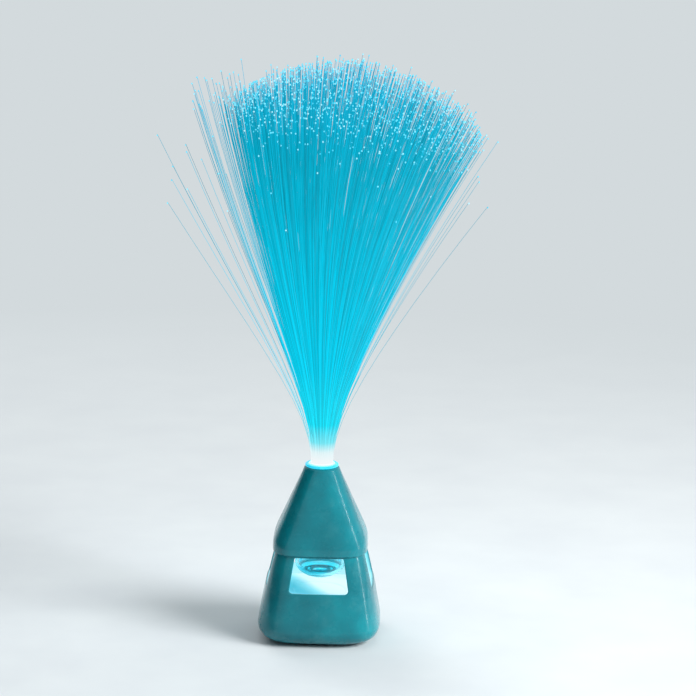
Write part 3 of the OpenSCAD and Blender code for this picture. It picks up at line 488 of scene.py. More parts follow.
# %% Cone housing: its measures
SKIRT_HALF, SKIRT_BAND, SKIRT_SQUARE = 28.8, 4.0, 4.1
MOUTH_Z, MOUTH_R, SOFT, SLOPE = 105.0, 10.2, 0.7, 0.43
SOCKET_R, SOCKET_DEPTH = 9.15, 2.9
STRAIGHT_Z, CHANGE_Z = SHOULDER_Z + SKIRT_BAND, 72
PLUG_HALF, CARRIER_TOP_Z = 26.6, 63.5
CIRCLE, ROUNDING = 2.0, 0.85
INSIDE_TOP_Z, INSIDE_LOW_Z = MOUTH_Z - 3, CARRIER_TOP_Z + 1.5
CONE_EDGE_R, CONE_STEPS = 0.5, 240


def superellipse(angle, half, squareness):
    """Point at a polar angle on |x/half|^n + |y/half|^n = 1; n is 2 on a circle, more on a square."""
    c, s = np.cos(angle), np.sin(angle)
    radius = half / (np.abs(c) ** squareness + np.abs(s) ** squareness) ** (1 / squareness)
    return radius * c, radius * s


def cone_half(z):
    """Smaller of skirt and straight side, softly joined: skirt - k ln(1 + exp((skirt - line) / k))."""
    line = MOUTH_R + SLOPE * (MOUTH_Z - z)
    return SKIRT_HALF - SOFT * np.log1p(np.exp((SKIRT_HALF - line) / SOFT))


def cone_square(z):
    """Squareness at height z: 2 at the mouth, plus the skirt's excess times (1 - s)^0.85 below it."""
    s = np.clip((z - STRAIGHT_Z) / (MOUTH_Z - STRAIGHT_Z), 0, 1)
    return CIRCLE + (SKIRT_SQUARE - CIRCLE) * (1 - s) ** ROUNDING


print("cone", round(2 * cone_half(SHOULDER_Z), 1), "mm wide at the skirt and",
      round(2 * cone_half(MOUTH_Z), 1), "mm at the mouth")

# %% [markdown]
# ### The cone's wall
# One profile goes round the whole section of the wall: from the skirt up the outside, into the mouth
# and down the inside. Each row has its own squareness, and closes on itself.

# %% Cone housing: its wall
def cone_grid():
    """Superellipse rows of (half width, height, squareness), up the outside and down the inside."""
    start = SHOULDER_Z + CONE_EDGE_R
    out_z = np.concatenate([np.linspace(start, CHANGE_Z, 26),
                            np.linspace(CHANGE_Z, MOUTH_Z, 26)[1:]])
    in_z = np.linspace(INSIDE_TOP_Z, INSIDE_LOW_Z, 40)
    foot = arc((cone_half(start) - CONE_EDGE_R, start), CONE_EDGE_R, -90, 0, 7)
    rows = np.vstack([
        [[PLUG_HALF, SHOULDER_Z, SQUARE]],
        np.column_stack([foot, np.full(len(foot), SKIRT_SQUARE)]),
        np.column_stack([cone_half(out_z), out_z, cone_square(out_z)])[1:],
        [[SOCKET_R, MOUTH_Z, CIRCLE], [SOCKET_R, MOUTH_Z - SOCKET_DEPTH, CIRCLE]],
        np.column_stack([cone_half(in_z) - WALL, in_z, cone_square(in_z)]),
        [[PLUG_HALF, CARRIER_TOP_Z, SQUARE], [PLUG_HALF, SHOULDER_Z, SQUARE]]])
    angle = np.linspace(0, 2 * np.pi, CONE_STEPS, endpoint=False)
    x, y = superellipse(angle[None, :], rows[:, :1], rows[:, 2:])
    return np.stack([x, y, np.broadcast_to(rows[:, 1:2], x.shape)], axis=-1)


make_piece("cone_moulding", [(cone_grid(), True)], "lamp_base", HOUSING,
           ["cone_housing"])

# %% [markdown]
# ## Collar ring
# The collar is a clear acrylic ring pressed into the cone's mouth. Light leaks into it from the bundle,
# so it glows brighter than anything but the fibres. Its lip is a half round. Clear acrylic with a lamp
# behind it would need many light paths, and at this size it only shows as a bright cyan band, so the
# acrylic gives out its own light, a little cloudy as real acrylic's haze makes it.

# %% Lit clear acrylic
def lit_acrylic():
    """Glowing acrylic whose cyan changes over a haze about 3 mm across."""
    material, tree, shader = new_material("lit_clear_acrylic")
    place = add(tree, "ShaderNodeTexCoord", "Object")
    haze = add(tree, "ShaderNodeTexNoise", "Fac",
               {"Vector": place, "Scale": per_metre(3.0), "Detail": 4.0})
    share = add(tree, "ShaderNodeMapRange", "Result", {"Value": haze, **NOISE_SPAN})
    glow = add(tree, "ShaderNodeValToRGB", "Color", {"Fac": share},
               [(0.0, "#12B8DC"), (0.6, "#1CD2EC"), (1.0, "#53E4F5")])
    wave = add(tree, "ShaderNodeTexNoise", "Fac",
               {"Vector": place, "Scale": per_metre(1.2), "Detail": 2.0})
    uneven = add(tree, "ShaderNodeBump", "Normal", {"Height": wave, "Distance": 0.01 * MM})
    wire(tree, shader, {
        "IOR": 1.49, "Roughness": 0.12, "Coat Weight": 0.4, "Coat Roughness": 0.05,
        "Base Color": "#0E7C90", "Normal": uneven,
        "Emission Color": glow, "Emission Strength": 0.92})
    return material


COLLAR = lit_acrylic()
print(COLLAR.name, len(COLLAR.node_tree.nodes), "nodes")

# %% Collar ring
LIP_T, BORE_R, SOCKET_Z, FERRULE_Z = 1.6, 8.05, 86.0, 87.0
SOCKET_OUT_R, STOP, BORE_EDGE_R = 9.1, 0.7, 0.25


def lathe(profile, steps=128):
    """(radius, height) pairs turned about the axis, (r cos a, r sin a, z), closed in both ways."""
    angle = np.linspace(0, 2 * np.pi, steps, endpoint=False)
    profile = np.vstack([profile, profile[:1]])
    r, z = profile[:, :1], profile[:, 1:]
    level = np.broadcast_to(z, (len(profile), steps))
    return np.stack([r * np.cos(angle), r * np.sin(angle), level], axis=-1)


collar_profile = np.vstack([
    [[BORE_R - STOP, SOCKET_Z], [SOCKET_OUT_R, SOCKET_Z], [SOCKET_OUT_R, MOUTH_Z]],
    arc((MOUTH_R - LIP_T / 2, MOUTH_Z + LIP_T / 2), LIP_T / 2, -90, 90, 13),
    arc((BORE_R + BORE_EDGE_R, MOUTH_Z + LIP_T - BORE_EDGE_R), BORE_EDGE_R, 90, 180, 5),
    [[BORE_R, FERRULE_Z], [BORE_R - STOP, FERRULE_Z]]])
make_piece("collar_glow_ring", [(lathe(collar_profile), True)], "lamp_base",
           COLLAR, ["collar_ring"])

# %% [markdown]
# ## Fibres
# The fibres are drawn acrylic, about a third of a millimetre thick, potted in the ferrule. They stand
# straight in the bundle, then each opens by its place in it: the further from the middle, the more.
# They could be grown as hair, but hair leaves no mesh to hand on. So each is a prism along a centre
# line, and all the lines are computed at once. The whole spray leans a little to the right near its
# top, where it bends under its own weight.

# %% Fibres: their paths
FIBRE_R, FAN_Z, FAN_H = 0.15, 107.0, 247.0
FAN_BEND, FAN_LEAN, LEAN_POWER = 0.165, 17.5, 2.6
PLUG_TOP_Z = FAN_Z - 2.5
PATH_STEPS, LOW_CROWDED = 12, 1.4


def opened(h):
    """How far the fan has opened at share h of its height: a hyperbola that starts upright."""
    return np.sqrt(h * h + FAN_BEND ** 2) - FAN_BEND


def fibre_paths(seat, bearing, spread_to, tip, sway):
    """Centre lines, one row a fibre: r = seat + spread * opened(h), leaning right by h^2.6."""
    s = np.linspace(0, 1, PATH_STEPS) ** LOW_CROWDED
    h = tip[:, None] * s[None, :]
    r = seat[:, None] + spread_to[:, None] * opened(h)
    turn_by = bearing[:, None] + sway[:, None] * h ** 2
    x = r * np.cos(turn_by) + FAN_LEAN * h ** LEAN_POWER
    fan = np.stack([x, r * np.sin(turn_by), FAN_Z + FAN_H * h], axis=-1)
    in_plug = np.full(len(seat), PLUG_TOP_Z)
    foot = np.stack([seat * np.cos(bearing), seat * np.sin(bearing), in_plug], axis=-1)
    return np.concatenate([foot[:, None, :], fan], axis=1)


print("the fan has opened by", np.round(opened(np.array([0.25, 0.5, 1.0])), 2),
      "of its spread at a quarter, half and all of its height")

# %% [markdown]
# ### Fibres of the fan
# The bundle is packed along a golden-angle spiral, which leaves no rows. Small seeded differences in
# spread and sway keep it from looking combed. It is cut in a few tiers, lower at the edge, with some
# fibres left proud, so that the tips sparkle at several heights.

# %% Fibres: core, middle and outer
FAN_SPREAD, SPREAD_POWER, EDGE_DROP = 105.0, 0.9, 0.105
LEAN_SPREAD, LEAN_DROP = 0.13, 0.08
BUNDLE_R, MAIN_R = 6.95, 6.2
TIERS = np.array([0.0, 0.0, 0.022, 0.045, 0.085])
TIER_STRIDE = 0.7548
PROUD_SHARE, PROUD_BY, JITTER = 0.07, 0.012, 0.010
SPREAD_FROM, SPREAD_TO, SWAY = 0.94, 1.03, 0.05
GOLDEN = np.radians(137.508)
CORE_COUNT, MIDDLE_COUNT, OUTER_COUNT = 700, 760, 840
MAIN_COUNT = CORE_COUNT + MIDDLE_COUNT + OUTER_COUNT
random = np.random.default_rng(7)


def main_fibres(first, count):
    """Fibre i sits at radius R sqrt((i + 1/2) / all) and i golden angles, and spreads by u^0.9."""
    i = np.arange(first, first + count)
    seat = MAIN_R * np.sqrt((i + 0.5) / MAIN_COUNT)
    u = seat / MAIN_R
    tier = TIERS[(len(TIERS) * np.modf(i * TIER_STRIDE)[0]).astype(int)]
    right = np.cos(i * GOLDEN)
    proud = np.where(random.random(count) < PROUD_SHARE, 0.0,
                     PROUD_BY + JITTER * random.random(count))
    tip = 1 - EDGE_DROP * u * u - LEAN_DROP * u * np.maximum(right, 0)
    tip = tip * (1 - tier) * (1 - proud)
    spread_to = FAN_SPREAD * u ** SPREAD_POWER * (1 + LEAN_SPREAD * right)
    spread_to = spread_to * random.uniform(SPREAD_FROM, SPREAD_TO, count)
    return fibre_paths(seat, i * GOLDEN, spread_to, tip, random.normal(0, SWAY, count))


core = main_fibres(0, CORE_COUNT)
middle = main_fibres(CORE_COUNT, MIDDLE_COUNT)
outer = main_fibres(CORE_COUNT + MIDDLE_COUNT, OUTER_COUNT)
print("highest tip", round(max(group[..., 2].max() for group in (core, middle, outer)), 1), "mm up")

# %% [markdown]
# ### Strays and loose fibres
# Some fibres stand clear of the fan. The strays ring it at the reach that the construction gives, and
# a looser handful left the fan on the side away from its lean. Both use the same paths as the fan,
# with the spread worked back from how far out the tip should end.

# %% Fibres: strays and loose ones
STRAY_COUNT, STRAY_REACH, STRAY_TIP = 48, 100.35, 0.80
TIP_FROM, TIP_OVER, TIP_STRIDE = 0.80, 0.26, 0.618
REACH_FROM, REACH_OVER, REACH_STRIDE = 0.84, 0.12, 0.382
LOOSE_COUNT, LOOSE_ANGLE, LOOSE_TIPS, LOOSE_SEATS = 54, 0.5, (0.84, 0.96), (0.9, 1.0)
LOOSE_FROM, LOOSE_OVER, LOOSE_CROWDED = 0.62, 0.30, 1.4


def reaching(seat, bearing, ask, tip):
    """Paths whose tips end this far out: spread = (reach without the lean - seat) / opened(tip)."""
    reach = ask - FAN_LEAN * tip ** LEAN_POWER * np.cos(bearing)
    return fibre_paths(seat, bearing, (reach - seat) / opened(tip), tip, np.zeros(len(seat)))


def stray_fibres(count):
    """Evenly round the fan; every quarter turn one reaches the full distance, as in the frame."""
    j = np.arange(count)
    full = j % (count // 4) == 0
    low = TIP_FROM + TIP_OVER * np.modf(j * TIP_STRIDE)[0]
    near = REACH_FROM + REACH_OVER * np.modf(j * REACH_STRIDE)[0]
    tip = np.where(full, STRAY_TIP, STRAY_TIP * low)
    ask = np.where(full, STRAY_REACH, STRAY_REACH * near)
    return reaching(np.full(count, (MAIN_R + BUNDLE_R) / 2), 2 * np.pi * j / count, ask, tip)


def loose_fibres(count):
    """Fibres about the left side, whose reach falls with the root of their height."""
    bearing = np.pi + random.normal(0, LOOSE_ANGLE, count)
    tip = random.uniform(*LOOSE_TIPS, count)
    near = LOOSE_FROM + LOOSE_OVER * random.random(count) ** LOOSE_CROWDED
    ask = STRAY_REACH * near * np.sqrt(STRAY_TIP / tip)
    return reaching(random.uniform(*LOOSE_SEATS, count) * MAIN_R, bearing, ask, tip)


strays = np.concatenate([stray_fibres(STRAY_COUNT), loose_fibres(LOOSE_COUNT)])
print("strays reach", round(np.abs(strays[..., :2]).max(), 1), "mm from the axis")

# %% [markdown]
# ## Lit fibre
# Acrylic carries the light along the fibre and loses a little of it on the way, so a fibre is white hot
# at its foot and a deeper cyan towards its tip. The colour follows the height, and each fibre's own
# tone makes it a little brighter or dimmer than its neighbours.

# %% Lit fibre
def lit_fibre():
    """Glow: the colour at this height times the fibre's own tone, but at the foot the colour alone."""
    material, tree, shader = new_material("lit_drawn_acrylic")
    place = add(tree, "ShaderNodeTexCoord", "Object")
    height = add(tree, "ShaderNodeSeparateXYZ", "Z", {"Vector": place})
    share = add(tree, "ShaderNodeMapRange", "Result",
                {"Value": height, "From Min": FAN_Z * MM, "From Max": (FAN_Z + FAN_H) * MM})
    along = add(tree, "ShaderNodeValToRGB", "Color", {"Fac": share}, [
        (0.0, "#FFFFFF"), (0.03, "#EAFDFF"), (0.055, "#7DEFFC"), (0.10, "#18E6FE"),
        (0.25, "#00D4F4"), (0.5, "#00C4E4"), (0.75, "#00B0CF"), (0.88, "#04B0D4"),
        (1.0, "#0CB4E0")])
    tone = add(tree, "ShaderNodeAttribute", "Fac", attribute_name="tone")
    varied = add(tree, "ShaderNodeMapRange", "Result", {"Value": tone, "To Min": 0.6, "To Max": 1.3})
    above_foot = add(tree, "ShaderNodeMapRange", "Result",
                     {"Value": share, "From Min": 0.02, "From Max": 0.08})
    level = add(tree, "ShaderNodeMix", "Result", {"Factor": above_foot, "A": 1.0, "B": varied})
    grey = add(tree, "ShaderNodeCombineColor", "Color",
               {"Red": level, "Green": level, "Blue": level})
    shown = add(tree, "ShaderNodeMix", "Result", {"Factor": 1.0, "A": along, "B": grey},
                data_type="RGBA", blend_type="MULTIPLY")
    wire(tree, shader, {
        "IOR": 1.49, "Roughness": 0.3, "Specular IOR Level": 0.2, "Base Color": "#032A33",
        "Emission Color": shown, "Emission Strength": 0.9})
    return material


FIBRE = lit_fibre()
print(FIBRE.name, len(FIBRE.node_tree.nodes), "nodes")

# %% [markdown]
# ### Prisms along the paths
# A round fibre this thin shows as a pixel or less, so three sides are enough, and thousands of them
# stay light. Each fibre's tone is one random number, stored on all its points.

# %% Fibres: their meshes
PRISM_SIDES = 3


def fibre_mesh(name, paths, material, replaces):
    """Three-sided prisms round all the paths at once, each path's point + radius (cos, sin, 0)."""
    fibres, steps = paths.shape[:2]
    corner = 2 * np.pi * np.arange(PRISM_SIDES) / PRISM_SIDES
    ring = FIBRE_R * np.stack([np.cos(corner), np.sin(corner), np.zeros(PRISM_SIDES)], axis=-1)
    points = paths[:, :, None, :] + ring[None, None]
    first = (np.arange(fibres) * steps * PRISM_SIDES)[:, None, None]
    walls = (grid_faces(steps, PRISM_SIDES, True)[None] + first).reshape(-1, 4)
    top = (steps - 1) * PRISM_SIDES
    caps = (np.array([[2, 1, 0], [top, top + 1, top + 2]])[None] + first).reshape(-1, 3)
    mesh = bpy.data.meshes.new(name)
    mesh.from_pydata((points.reshape(-1, 3) * MM).tolist(), [], walls.tolist() + caps.tolist())
    tone = np.repeat(random.random(fibres), steps * PRISM_SIDES)
    values = mesh.attributes.new("tone", "FLOAT", "POINT").data
    values.foreach_set("value", tone.astype(np.float32))
    mesh.shade_smooth()
    piece = place_object(name, mesh, material)
    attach(piece, "fibre_plug")
    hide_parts(*replaces)
    print(name, fibres, "fibres,", len(mesh.polygons), "faces")


fibre_mesh("fibres_core", core, FIBRE, ["core_fibres"])
fibre_mesh("fibres_middle", middle, FIBRE, ["middle_fibres"])
fibre_mesh("fibres_outer", outer, FIBRE, ["outer_fibres"])
fibre_mesh("fibres_stray", strays, FIBRE, ["stray_fibres"])

# %% [markdown]
# ### Potting
# Clear resin holds the fibres in the ferrule. It is a plain turned plug, lit like the fibres in it.

# %% Fibre potting
POTTING_R, POTTING_STEPS, ALMOST_ZERO = 7.15, 64, 0.01
potting = np.array([[ALMOST_ZERO, FERRULE_Z], [POTTING_R, FERRULE_Z],
                    [POTTING_R, PLUG_TOP_Z], [ALMOST_ZERO, PLUG_TOP_Z]])
make_piece("fibre_potting", [(lathe(potting, POTTING_STEPS), True)], "fibre_plug",
           FIBRE, smooth=False)

# %% [markdown]
# ## Fibre tips
# The cut end of each fibre throws its light out, so every tip is a bright point. A real tip is a third
# of a millimetre across and would be lost in the picture, so it is drawn 1 mm wide. Each is a tiny
# eight-faced bead, because thousands of them need only a few faces each.

# %% Lit fibre tips
def lit_tip():
    """Cut acrylic whose brightness changes over about 7 mm, so that some tips sparkle more."""
    material, tree, shader = new_material("lit_cut_acrylic")
    place = add(tree, "ShaderNodeTexCoord", "Object")
    glint = add(tree, "ShaderNodeTexNoise", "Fac",
                {"Vector": place, "Scale": per_metre(7.0), "Detail": 2.0})
    share = add(tree, "ShaderNodeMapRange", "Result", {"Value": glint, **NOISE_SPAN})
    glow = add(tree, "ShaderNodeValToRGB", "Color", {"Fac": share},
               [(0.0, "#35C3E6"), (0.5, "#6FE6FA"), (1.0, "#C9F8FF")])
    wire(tree, shader, {"IOR": 1.49, "Roughness": 0.3, "Base Color": "#0A5F78",
                        "Emission Color": glow, "Emission Strength": 1.0})
    return material


FIBRE_END = lit_tip()
print(FIBRE_END.name, len(FIBRE_END.node_tree.nodes), "nodes")

# %% Fibre tips
BEAD_R, BEAD_STRETCH = 0.5, 1.3


def tip_beads(name, ends, material):
    """Octahedra, 1.3 times as high as wide, whose top is at each fibre's end."""
    shape = np.array([[1, 0, 0], [0, 1, 0], [-1, 0, 0], [0, -1, 0],
                      [0, 0, BEAD_STRETCH], [0, 0, -BEAD_STRETCH]]) * BEAD_R
    sides = np.array([[0, 1, 4], [1, 2, 4], [2, 3, 4], [3, 0, 4],
                      [1, 0, 5], [2, 1, 5], [3, 2, 5], [0, 3, 5]])
    points = ends[:, None, :] - [0, 0, BEAD_STRETCH * BEAD_R] + shape[None]
    faces = sides[None] + (np.arange(len(ends)) * len(shape))[:, None, None]
    mesh = bpy.data.meshes.new(name)
    mesh.from_pydata((points.reshape(-1, 3) * MM).tolist(), [], faces.reshape(-1, 3).tolist())
    mesh.shade_smooth()
    piece = place_object(name, mesh, material)
    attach(piece, "fibre_plug")
    print(name, len(ends), "tips")


tips = np.concatenate([group[:, -1] for group in (core, middle, outer, strays)])
tip_beads("fibre_tips", tips, FIBRE_END)

# %% [markdown]
# ## Crystal lens
# The lens is moulded clear acrylic: a bowl whose outside is half an ellipse turned about the axis.
# Inside, its floor has fine rings and a domed boss that spread the downlight. It is one closed solid
# with a real wall, so light bends through it.

# %% Crystal lens: its section
LENS_R, LENS_WALL, LENS_Z, LENS_BOWL_H = 15.4, 2.0, 35.2, 9.7
LENS_STEP_R, LENS_BOSS_R, FLANGE_R, CUP_Z = 9.4, 5.6, 16.9, 65.0
LENS_FLOOR_Z = LENS_Z + LENS_WALL + 1.4
RIDGES, RIDGE_STEPS, RIDGE_H = 3, 8, 0.2
RIDGES_FROM_R, RIDGES_TO_R = LENS_STEP_R - 0.3, LENS_BOSS_R + 1.4
RIM_OUT_R, RIM_IN_R, RIM_H = LENS_BOSS_R + 1.2, LENS_BOSS_R + 0.4, 0.8
GROOVE_DEPTH, DOME_H, DOME_FALL = 0.2, 1, 1.2


def bowl(start, end, half, depth, steps):
    """Lower half of an ellipse, z = centre - depth * sqrt(1 - (x / half)^2), between two radii."""
    angles = np.linspace(0, np.pi / 2, steps) if end > start else np.linspace(np.pi / 2, 0, steps)
    low, high = min(start, end), max(start, end)
    x = low + (high - low) * np.sin(angles)
    centre = LENS_Z + LENS_BOWL_H
    return np.column_stack([x, centre - depth * np.sqrt(np.maximum(1 - (x / half) ** 2, 0))])


def ridged(start, end, count, depth):
    """Straight run with this many ridges standing up from it: depth * |sin(pi * count * s)|."""
    s = np.linspace(0, 1, count * RIDGE_STEPS + 1)
    line = np.outer(1 - s, start) + np.outer(s, end)
    line[:, 1] += depth * np.abs(np.sin(np.pi * count * s))
    return line


def lens_profile():
    """Outside bowl, flange, inside bowl, ringed floor, the boss's rim and its dome, as one profile."""
    in_r, in_h, floor = LENS_R - LENS_WALL, LENS_BOWL_H - LENS_WALL, LENS_FLOOR_Z
    dome_x = np.linspace(LENS_BOSS_R, ALMOST_ZERO, 10)
    return np.vstack([
        bowl(ALMOST_ZERO, LENS_R, LENS_R, LENS_BOWL_H, 28),
        [[LENS_R, CARRIER_TOP_Z], [FLANGE_R, CARRIER_TOP_Z], [FLANGE_R, CUP_Z], [in_r, CUP_Z]],
        bowl(in_r, LENS_STEP_R, in_r, in_h, 14),
        ridged((RIDGES_FROM_R, floor), (RIDGES_TO_R, floor), RIDGES, RIDGE_H),
        [[RIM_OUT_R, floor + RIM_H], [RIM_IN_R, floor + RIM_H], [LENS_BOSS_R, floor - GROOVE_DEPTH]],
        np.column_stack([dome_x, floor + DOME_H - DOME_FALL * (dome_x / LENS_BOSS_R) ** 2])])


lens_section = lens_profile()
print("lens section", len(lens_section), "points, floor", round(LENS_FLOOR_Z, 1), "mm up")

# %% [markdown]
# ### The lens's clear acrylic
# Clear acrylic with an IOR of 1.49 shows what lies behind it. The rings seen in the window lie on its
# inner floor, where they gather and shade the light, and a painted white glint, a highlight, sits left
# of the boss's middle. Tracing real caustics would be slow and noisy, so the rings' light and shade
# are painted into the colour and the glow by radius, and an attribute keeps them on the inner floor
# and off the clear outside.

# %% Crystal lens: its acrylic
GLINT_PLACE, GLINT_FROM, GLINT_TO = (-0.0036, -0.0015, 0.0), 0.0004, 0.0016
# Painted light and shade by share of the radius: the rings' glow on the inner floor, and tints that
# darken or pass the light.
RING_GLOWS = [
    (0.0, "#38D8E6"), (0.20, "#14AFC4"), (0.28, "#0A8CA0"), (0.32, "#001820"), (0.42, "#001820"),
    (0.45, "#22D8E8"), (0.51, "#14B4C8"), (0.54, "#001218"), (0.64, "#001218"), (0.66, "#065A68"),
    (1.0, "#065A68")]
RING_LIGHT_AND_SHADE = [
    (0.0, "#38D8E6"), (0.28, "#0A8CA0"), (0.32, "#001820"), (0.42, "#001820"), (0.45, "#22D8E8"),
    (0.51, "#14B4C8"), (0.54, "#001218"), (0.64, "#001218"), (0.67, "#9CF4FF"), (0.77, "#86ECFA"),
    (0.80, "#022E38"), (0.84, "#022E38"), (0.87, "#86ECFA"), (1.0, "#9CF4FF")]


def lit_lens():
    """Clear acrylic that glows faintly, with painted light and shade rings by radius and a painted
    glint.
    """
    material, tree, shader = new_material("lit_moulded_acrylic_lens")
    place = add(tree, "ShaderNodeTexCoord", "Object")
    inside = add(tree, "ShaderNodeAttribute", "Fac", attribute_name="inside")
    flat = add(tree, "ShaderNodeVectorMath", "Vector", {0: place, 1: (1.0, 1.0, 0.0)},
               operation="MULTIPLY")
    radius = add(tree, "ShaderNodeVectorMath", "Value", {0: flat}, operation="LENGTH")
    share = add(tree, "ShaderNodeMapRange", "Result", {"Value": radius, "From Max": LENS_R * MM})
    glows = add(tree, "ShaderNodeValToRGB", "Color", {"Fac": share}, RING_GLOWS)
    ring_shade = add(tree, "ShaderNodeValToRGB", "Color", {"Fac": share}, RING_LIGHT_AND_SHADE)
    # A painted white glint, standing in for a highlight, left of the boss's middle.
    spot = add(tree, "ShaderNodeVectorMath", "Value", {0: flat, 1: GLINT_PLACE},
               operation="DISTANCE")
    near_spot = add(tree, "ShaderNodeMapRange", "Result", {
        "Value": spot, "From Min": GLINT_FROM, "From Max": GLINT_TO, "To Min": 1.0, "To Max": 0.0})
    glint = add(tree, "ShaderNodeMix", "Result", {"Factor": near_spot, "A": glows, "B": "#FFFFFF"},
                data_type="RGBA")
    glow = add(tree, "ShaderNodeMix", "Result", {"Factor": inside, "A": "#03303A", "B": glint},
               data_type="RGBA")
    tint_and_ring_shade = add(tree, "ShaderNodeMix", "Result", {"Factor": inside, "A": "#B8FBFF", "B": ring_shade},
               data_type="RGBA")
    wire(tree, shader, {
        "IOR": 1.49, "Roughness": 0.02, "Transmission Weight": 0.97, "Base Color": tint_and_ring_shade,
        "Emission Color": glow, "Emission Strength": 0.6})
    return material


LENS = lit_lens()
print(LENS.name, len(LENS.node_tree.nodes), "nodes")

# %% Crystal lens
INSIDE_FROM, INSIDE_OVER = 0.6, 0.6
INSIDE_BELOW_Z, INSIDE_WITHIN_R = CARRIER_TOP_Z - 1, LENS_R - 0.5


def mark_inside(piece):
    """Attribute inside: height above the outer ellipse at the same radius, 0 outside and 1 inside."""
    place = np.empty(3 * len(piece.data.vertices))
    piece.data.vertices.foreach_get("co", place)
    x, y, z = place.reshape(-1, 3).T / MM
    r = np.minimum(np.hypot(x, y), LENS_R)
    outside = LENS_Z + LENS_BOWL_H * (1 - np.sqrt(1 - (r / LENS_R) ** 2))
    inside = np.clip((z - outside - INSIDE_FROM) / INSIDE_OVER, 0, 1)
    inside = inside * (z < INSIDE_BELOW_Z) * (r < INSIDE_WITHIN_R)
    values = piece.data.attributes.new("inside", "FLOAT", "POINT").data
    values.foreach_set("value", inside.astype(np.float32))
    print("inner floor points:", int((inside > 0.5).sum()))


mark_inside(make_piece("lens_crystal", [(lathe(lens_section), True)], "lamp_base",
                       LENS, ["crystal_lens"]))

# %% [markdown]
# ## Lit deck
# The deck is matt white polystyrene. The downlight floods it, so its right part is white and its left,
# further from the light's centre, is cyan. A lamp inside would be the plain way, but its light would
# have to find its way through the lens. So the deck gives out the light that it would throw back.

# %% Lit deck
ACROSS_DECK, CYAN_AT, WHITE_AT = (0.85, 0.5, 0.0), -0.017, 0.003


def lit_deck():
    """White polystyrene that glows by the distance along one direction across it."""
    material, tree, shader = new_material("lit_white_polystyrene")
    place = add(tree, "ShaderNodeTexCoord", "Object")
    across = add(tree, "ShaderNodeVectorMath", "Value", {0: place, 1: ACROSS_DECK},
                 operation="DOT_PRODUCT")
    share = add(tree, "ShaderNodeMapRange", "Result",
                {"Value": across, "From Min": CYAN_AT, "From Max": WHITE_AT})
    glow = add(tree, "ShaderNodeValToRGB", "Color", {"Fac": share},
               [(0.0, "#1CB4D2"), (0.35, "#38CBE6"), (0.7, "#8CEBFB"), (1.0, "#FFFFFF")])
    grain = add(tree, "ShaderNodeTexNoise", "Fac",
                {"Vector": place, "Scale": per_metre(0.8), "Detail": 3.0})
    uneven = add(tree, "ShaderNodeBump", "Normal", {"Height": grain, "Distance": 0.02 * MM})
    wire(tree, shader, {"Roughness": 0.55, "Base Color": "#8FC9D3", "Normal": uneven,
                        "Emission Color": glow, "Emission Strength": 0.5})
    return material


def dress(name, material):
    """Gives a carried-over node its finish."""
    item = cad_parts[name]
    item.data.materials.clear()
    item.data.materials.append(material)
    print(name, "finished in", material.name)


dress("reflector_deck", lit_deck())

# %% [markdown]
# ## Moulded covers and rubber
# The rest shows only from below or with the lamp apart, and each part still has the finish that it
# really has. Covers are moulded in tools with a spark-eroded grain, so that scratches hide in it. A
# Voronoi pattern gives the grain, and the shade and the gloss drift a little over it. The real grain
# is under a tenth of a millimetre, too fine to show, so it is drawn several times as coarse.

# %% Moulded covers and rubber
def moulded(name, dark, light, roughness, grain_mm, depth_mm, ior=1.5):
    """Plastic or rubber with a spark-eroded grain and a slight change of shade and of gloss."""
    material, tree, shader = new_material(name)
    place = add(tree, "ShaderNodeTexCoord", "Object")
    cloud = add(tree, "ShaderNodeTexNoise", "Fac",
                {"Vector": place, "Scale": per_metre(18.0), "Detail": 3.0})
    share = add(tree, "ShaderNodeMapRange", "Result", {"Value": cloud, **NOISE_SPAN})
    shade = add(tree, "ShaderNodeValToRGB", "Color", {"Fac": share}, [(0.0, dark), (1.0, light)])
    smear = add(tree, "ShaderNodeTexNoise", "Fac",
                {"Vector": place, "Scale": per_metre(5.0), "Detail": 5.0})
    dullness = add(tree, "ShaderNodeMapRange", "Result", {
        "Value": smear, **NOISE_SPAN, "To Min": roughness - 0.06, "To Max": roughness + 0.08})
    grain = add(tree, "ShaderNodeTexVoronoi", "Distance",
                {"Vector": place, "Scale": per_metre(grain_mm)})
    uneven = add(tree, "ShaderNodeBump", "Normal", {"Height": grain, "Distance": depth_mm * MM})
    wire(tree, shader, {"IOR": ior, "Base Color": shade, "Roughness": dullness, "Normal": uneven})
    return material


COVER = moulded("textured_teal_abs", "#0A6C78", "#0D7A87", 0.42, 0.6, 0.02)
BLACK = moulded("black_textured_abs", "#17191B", "#22262A", 0.45, 0.5, 0.02)
WHITE = moulded("white_polystyrene", "#DCE6E8", "#EDF3F4", 0.5, 0.8, 0.01)
RUBBER = moulded("black_nitrile_rubber", "#131414", "#1E1F20", 0.78, 0.35, 0.03, 1.52)
CHIP = moulded("black_chip_resin", "#111214", "#191B1E", 0.55, 0.2, 0.01)
for names, finish in ((["base_plate", "battery_door"], COVER),
                      (["battery_box", "switch_button"], BLACK),
                      (["lens_carrier", "reflector_cup"], WHITE), (["rubber_feet"], RUBBER),
                      (["control_chip", "resistors"], CHIP)):
    for name in names:
        dress(name, finish)

# %% [markdown]
# ## Plated metals
# Screws are zinc plated in a barrel and the springs' wire is drawn and nickel plated, so both carry
# fine streaks, drawn here about 1 mm apart, because the real ones are too fine to show. Streaks are
# noise that is squeezed along the height. The ferrule is turned aluminium, and light from the fibres'
# feet runs over its mouth, which is added as a glow near its top.

# %% Plated metals
STREAKED = (1.0, 1.0, 6.0)
MOUTH_GLOW_MM = 6


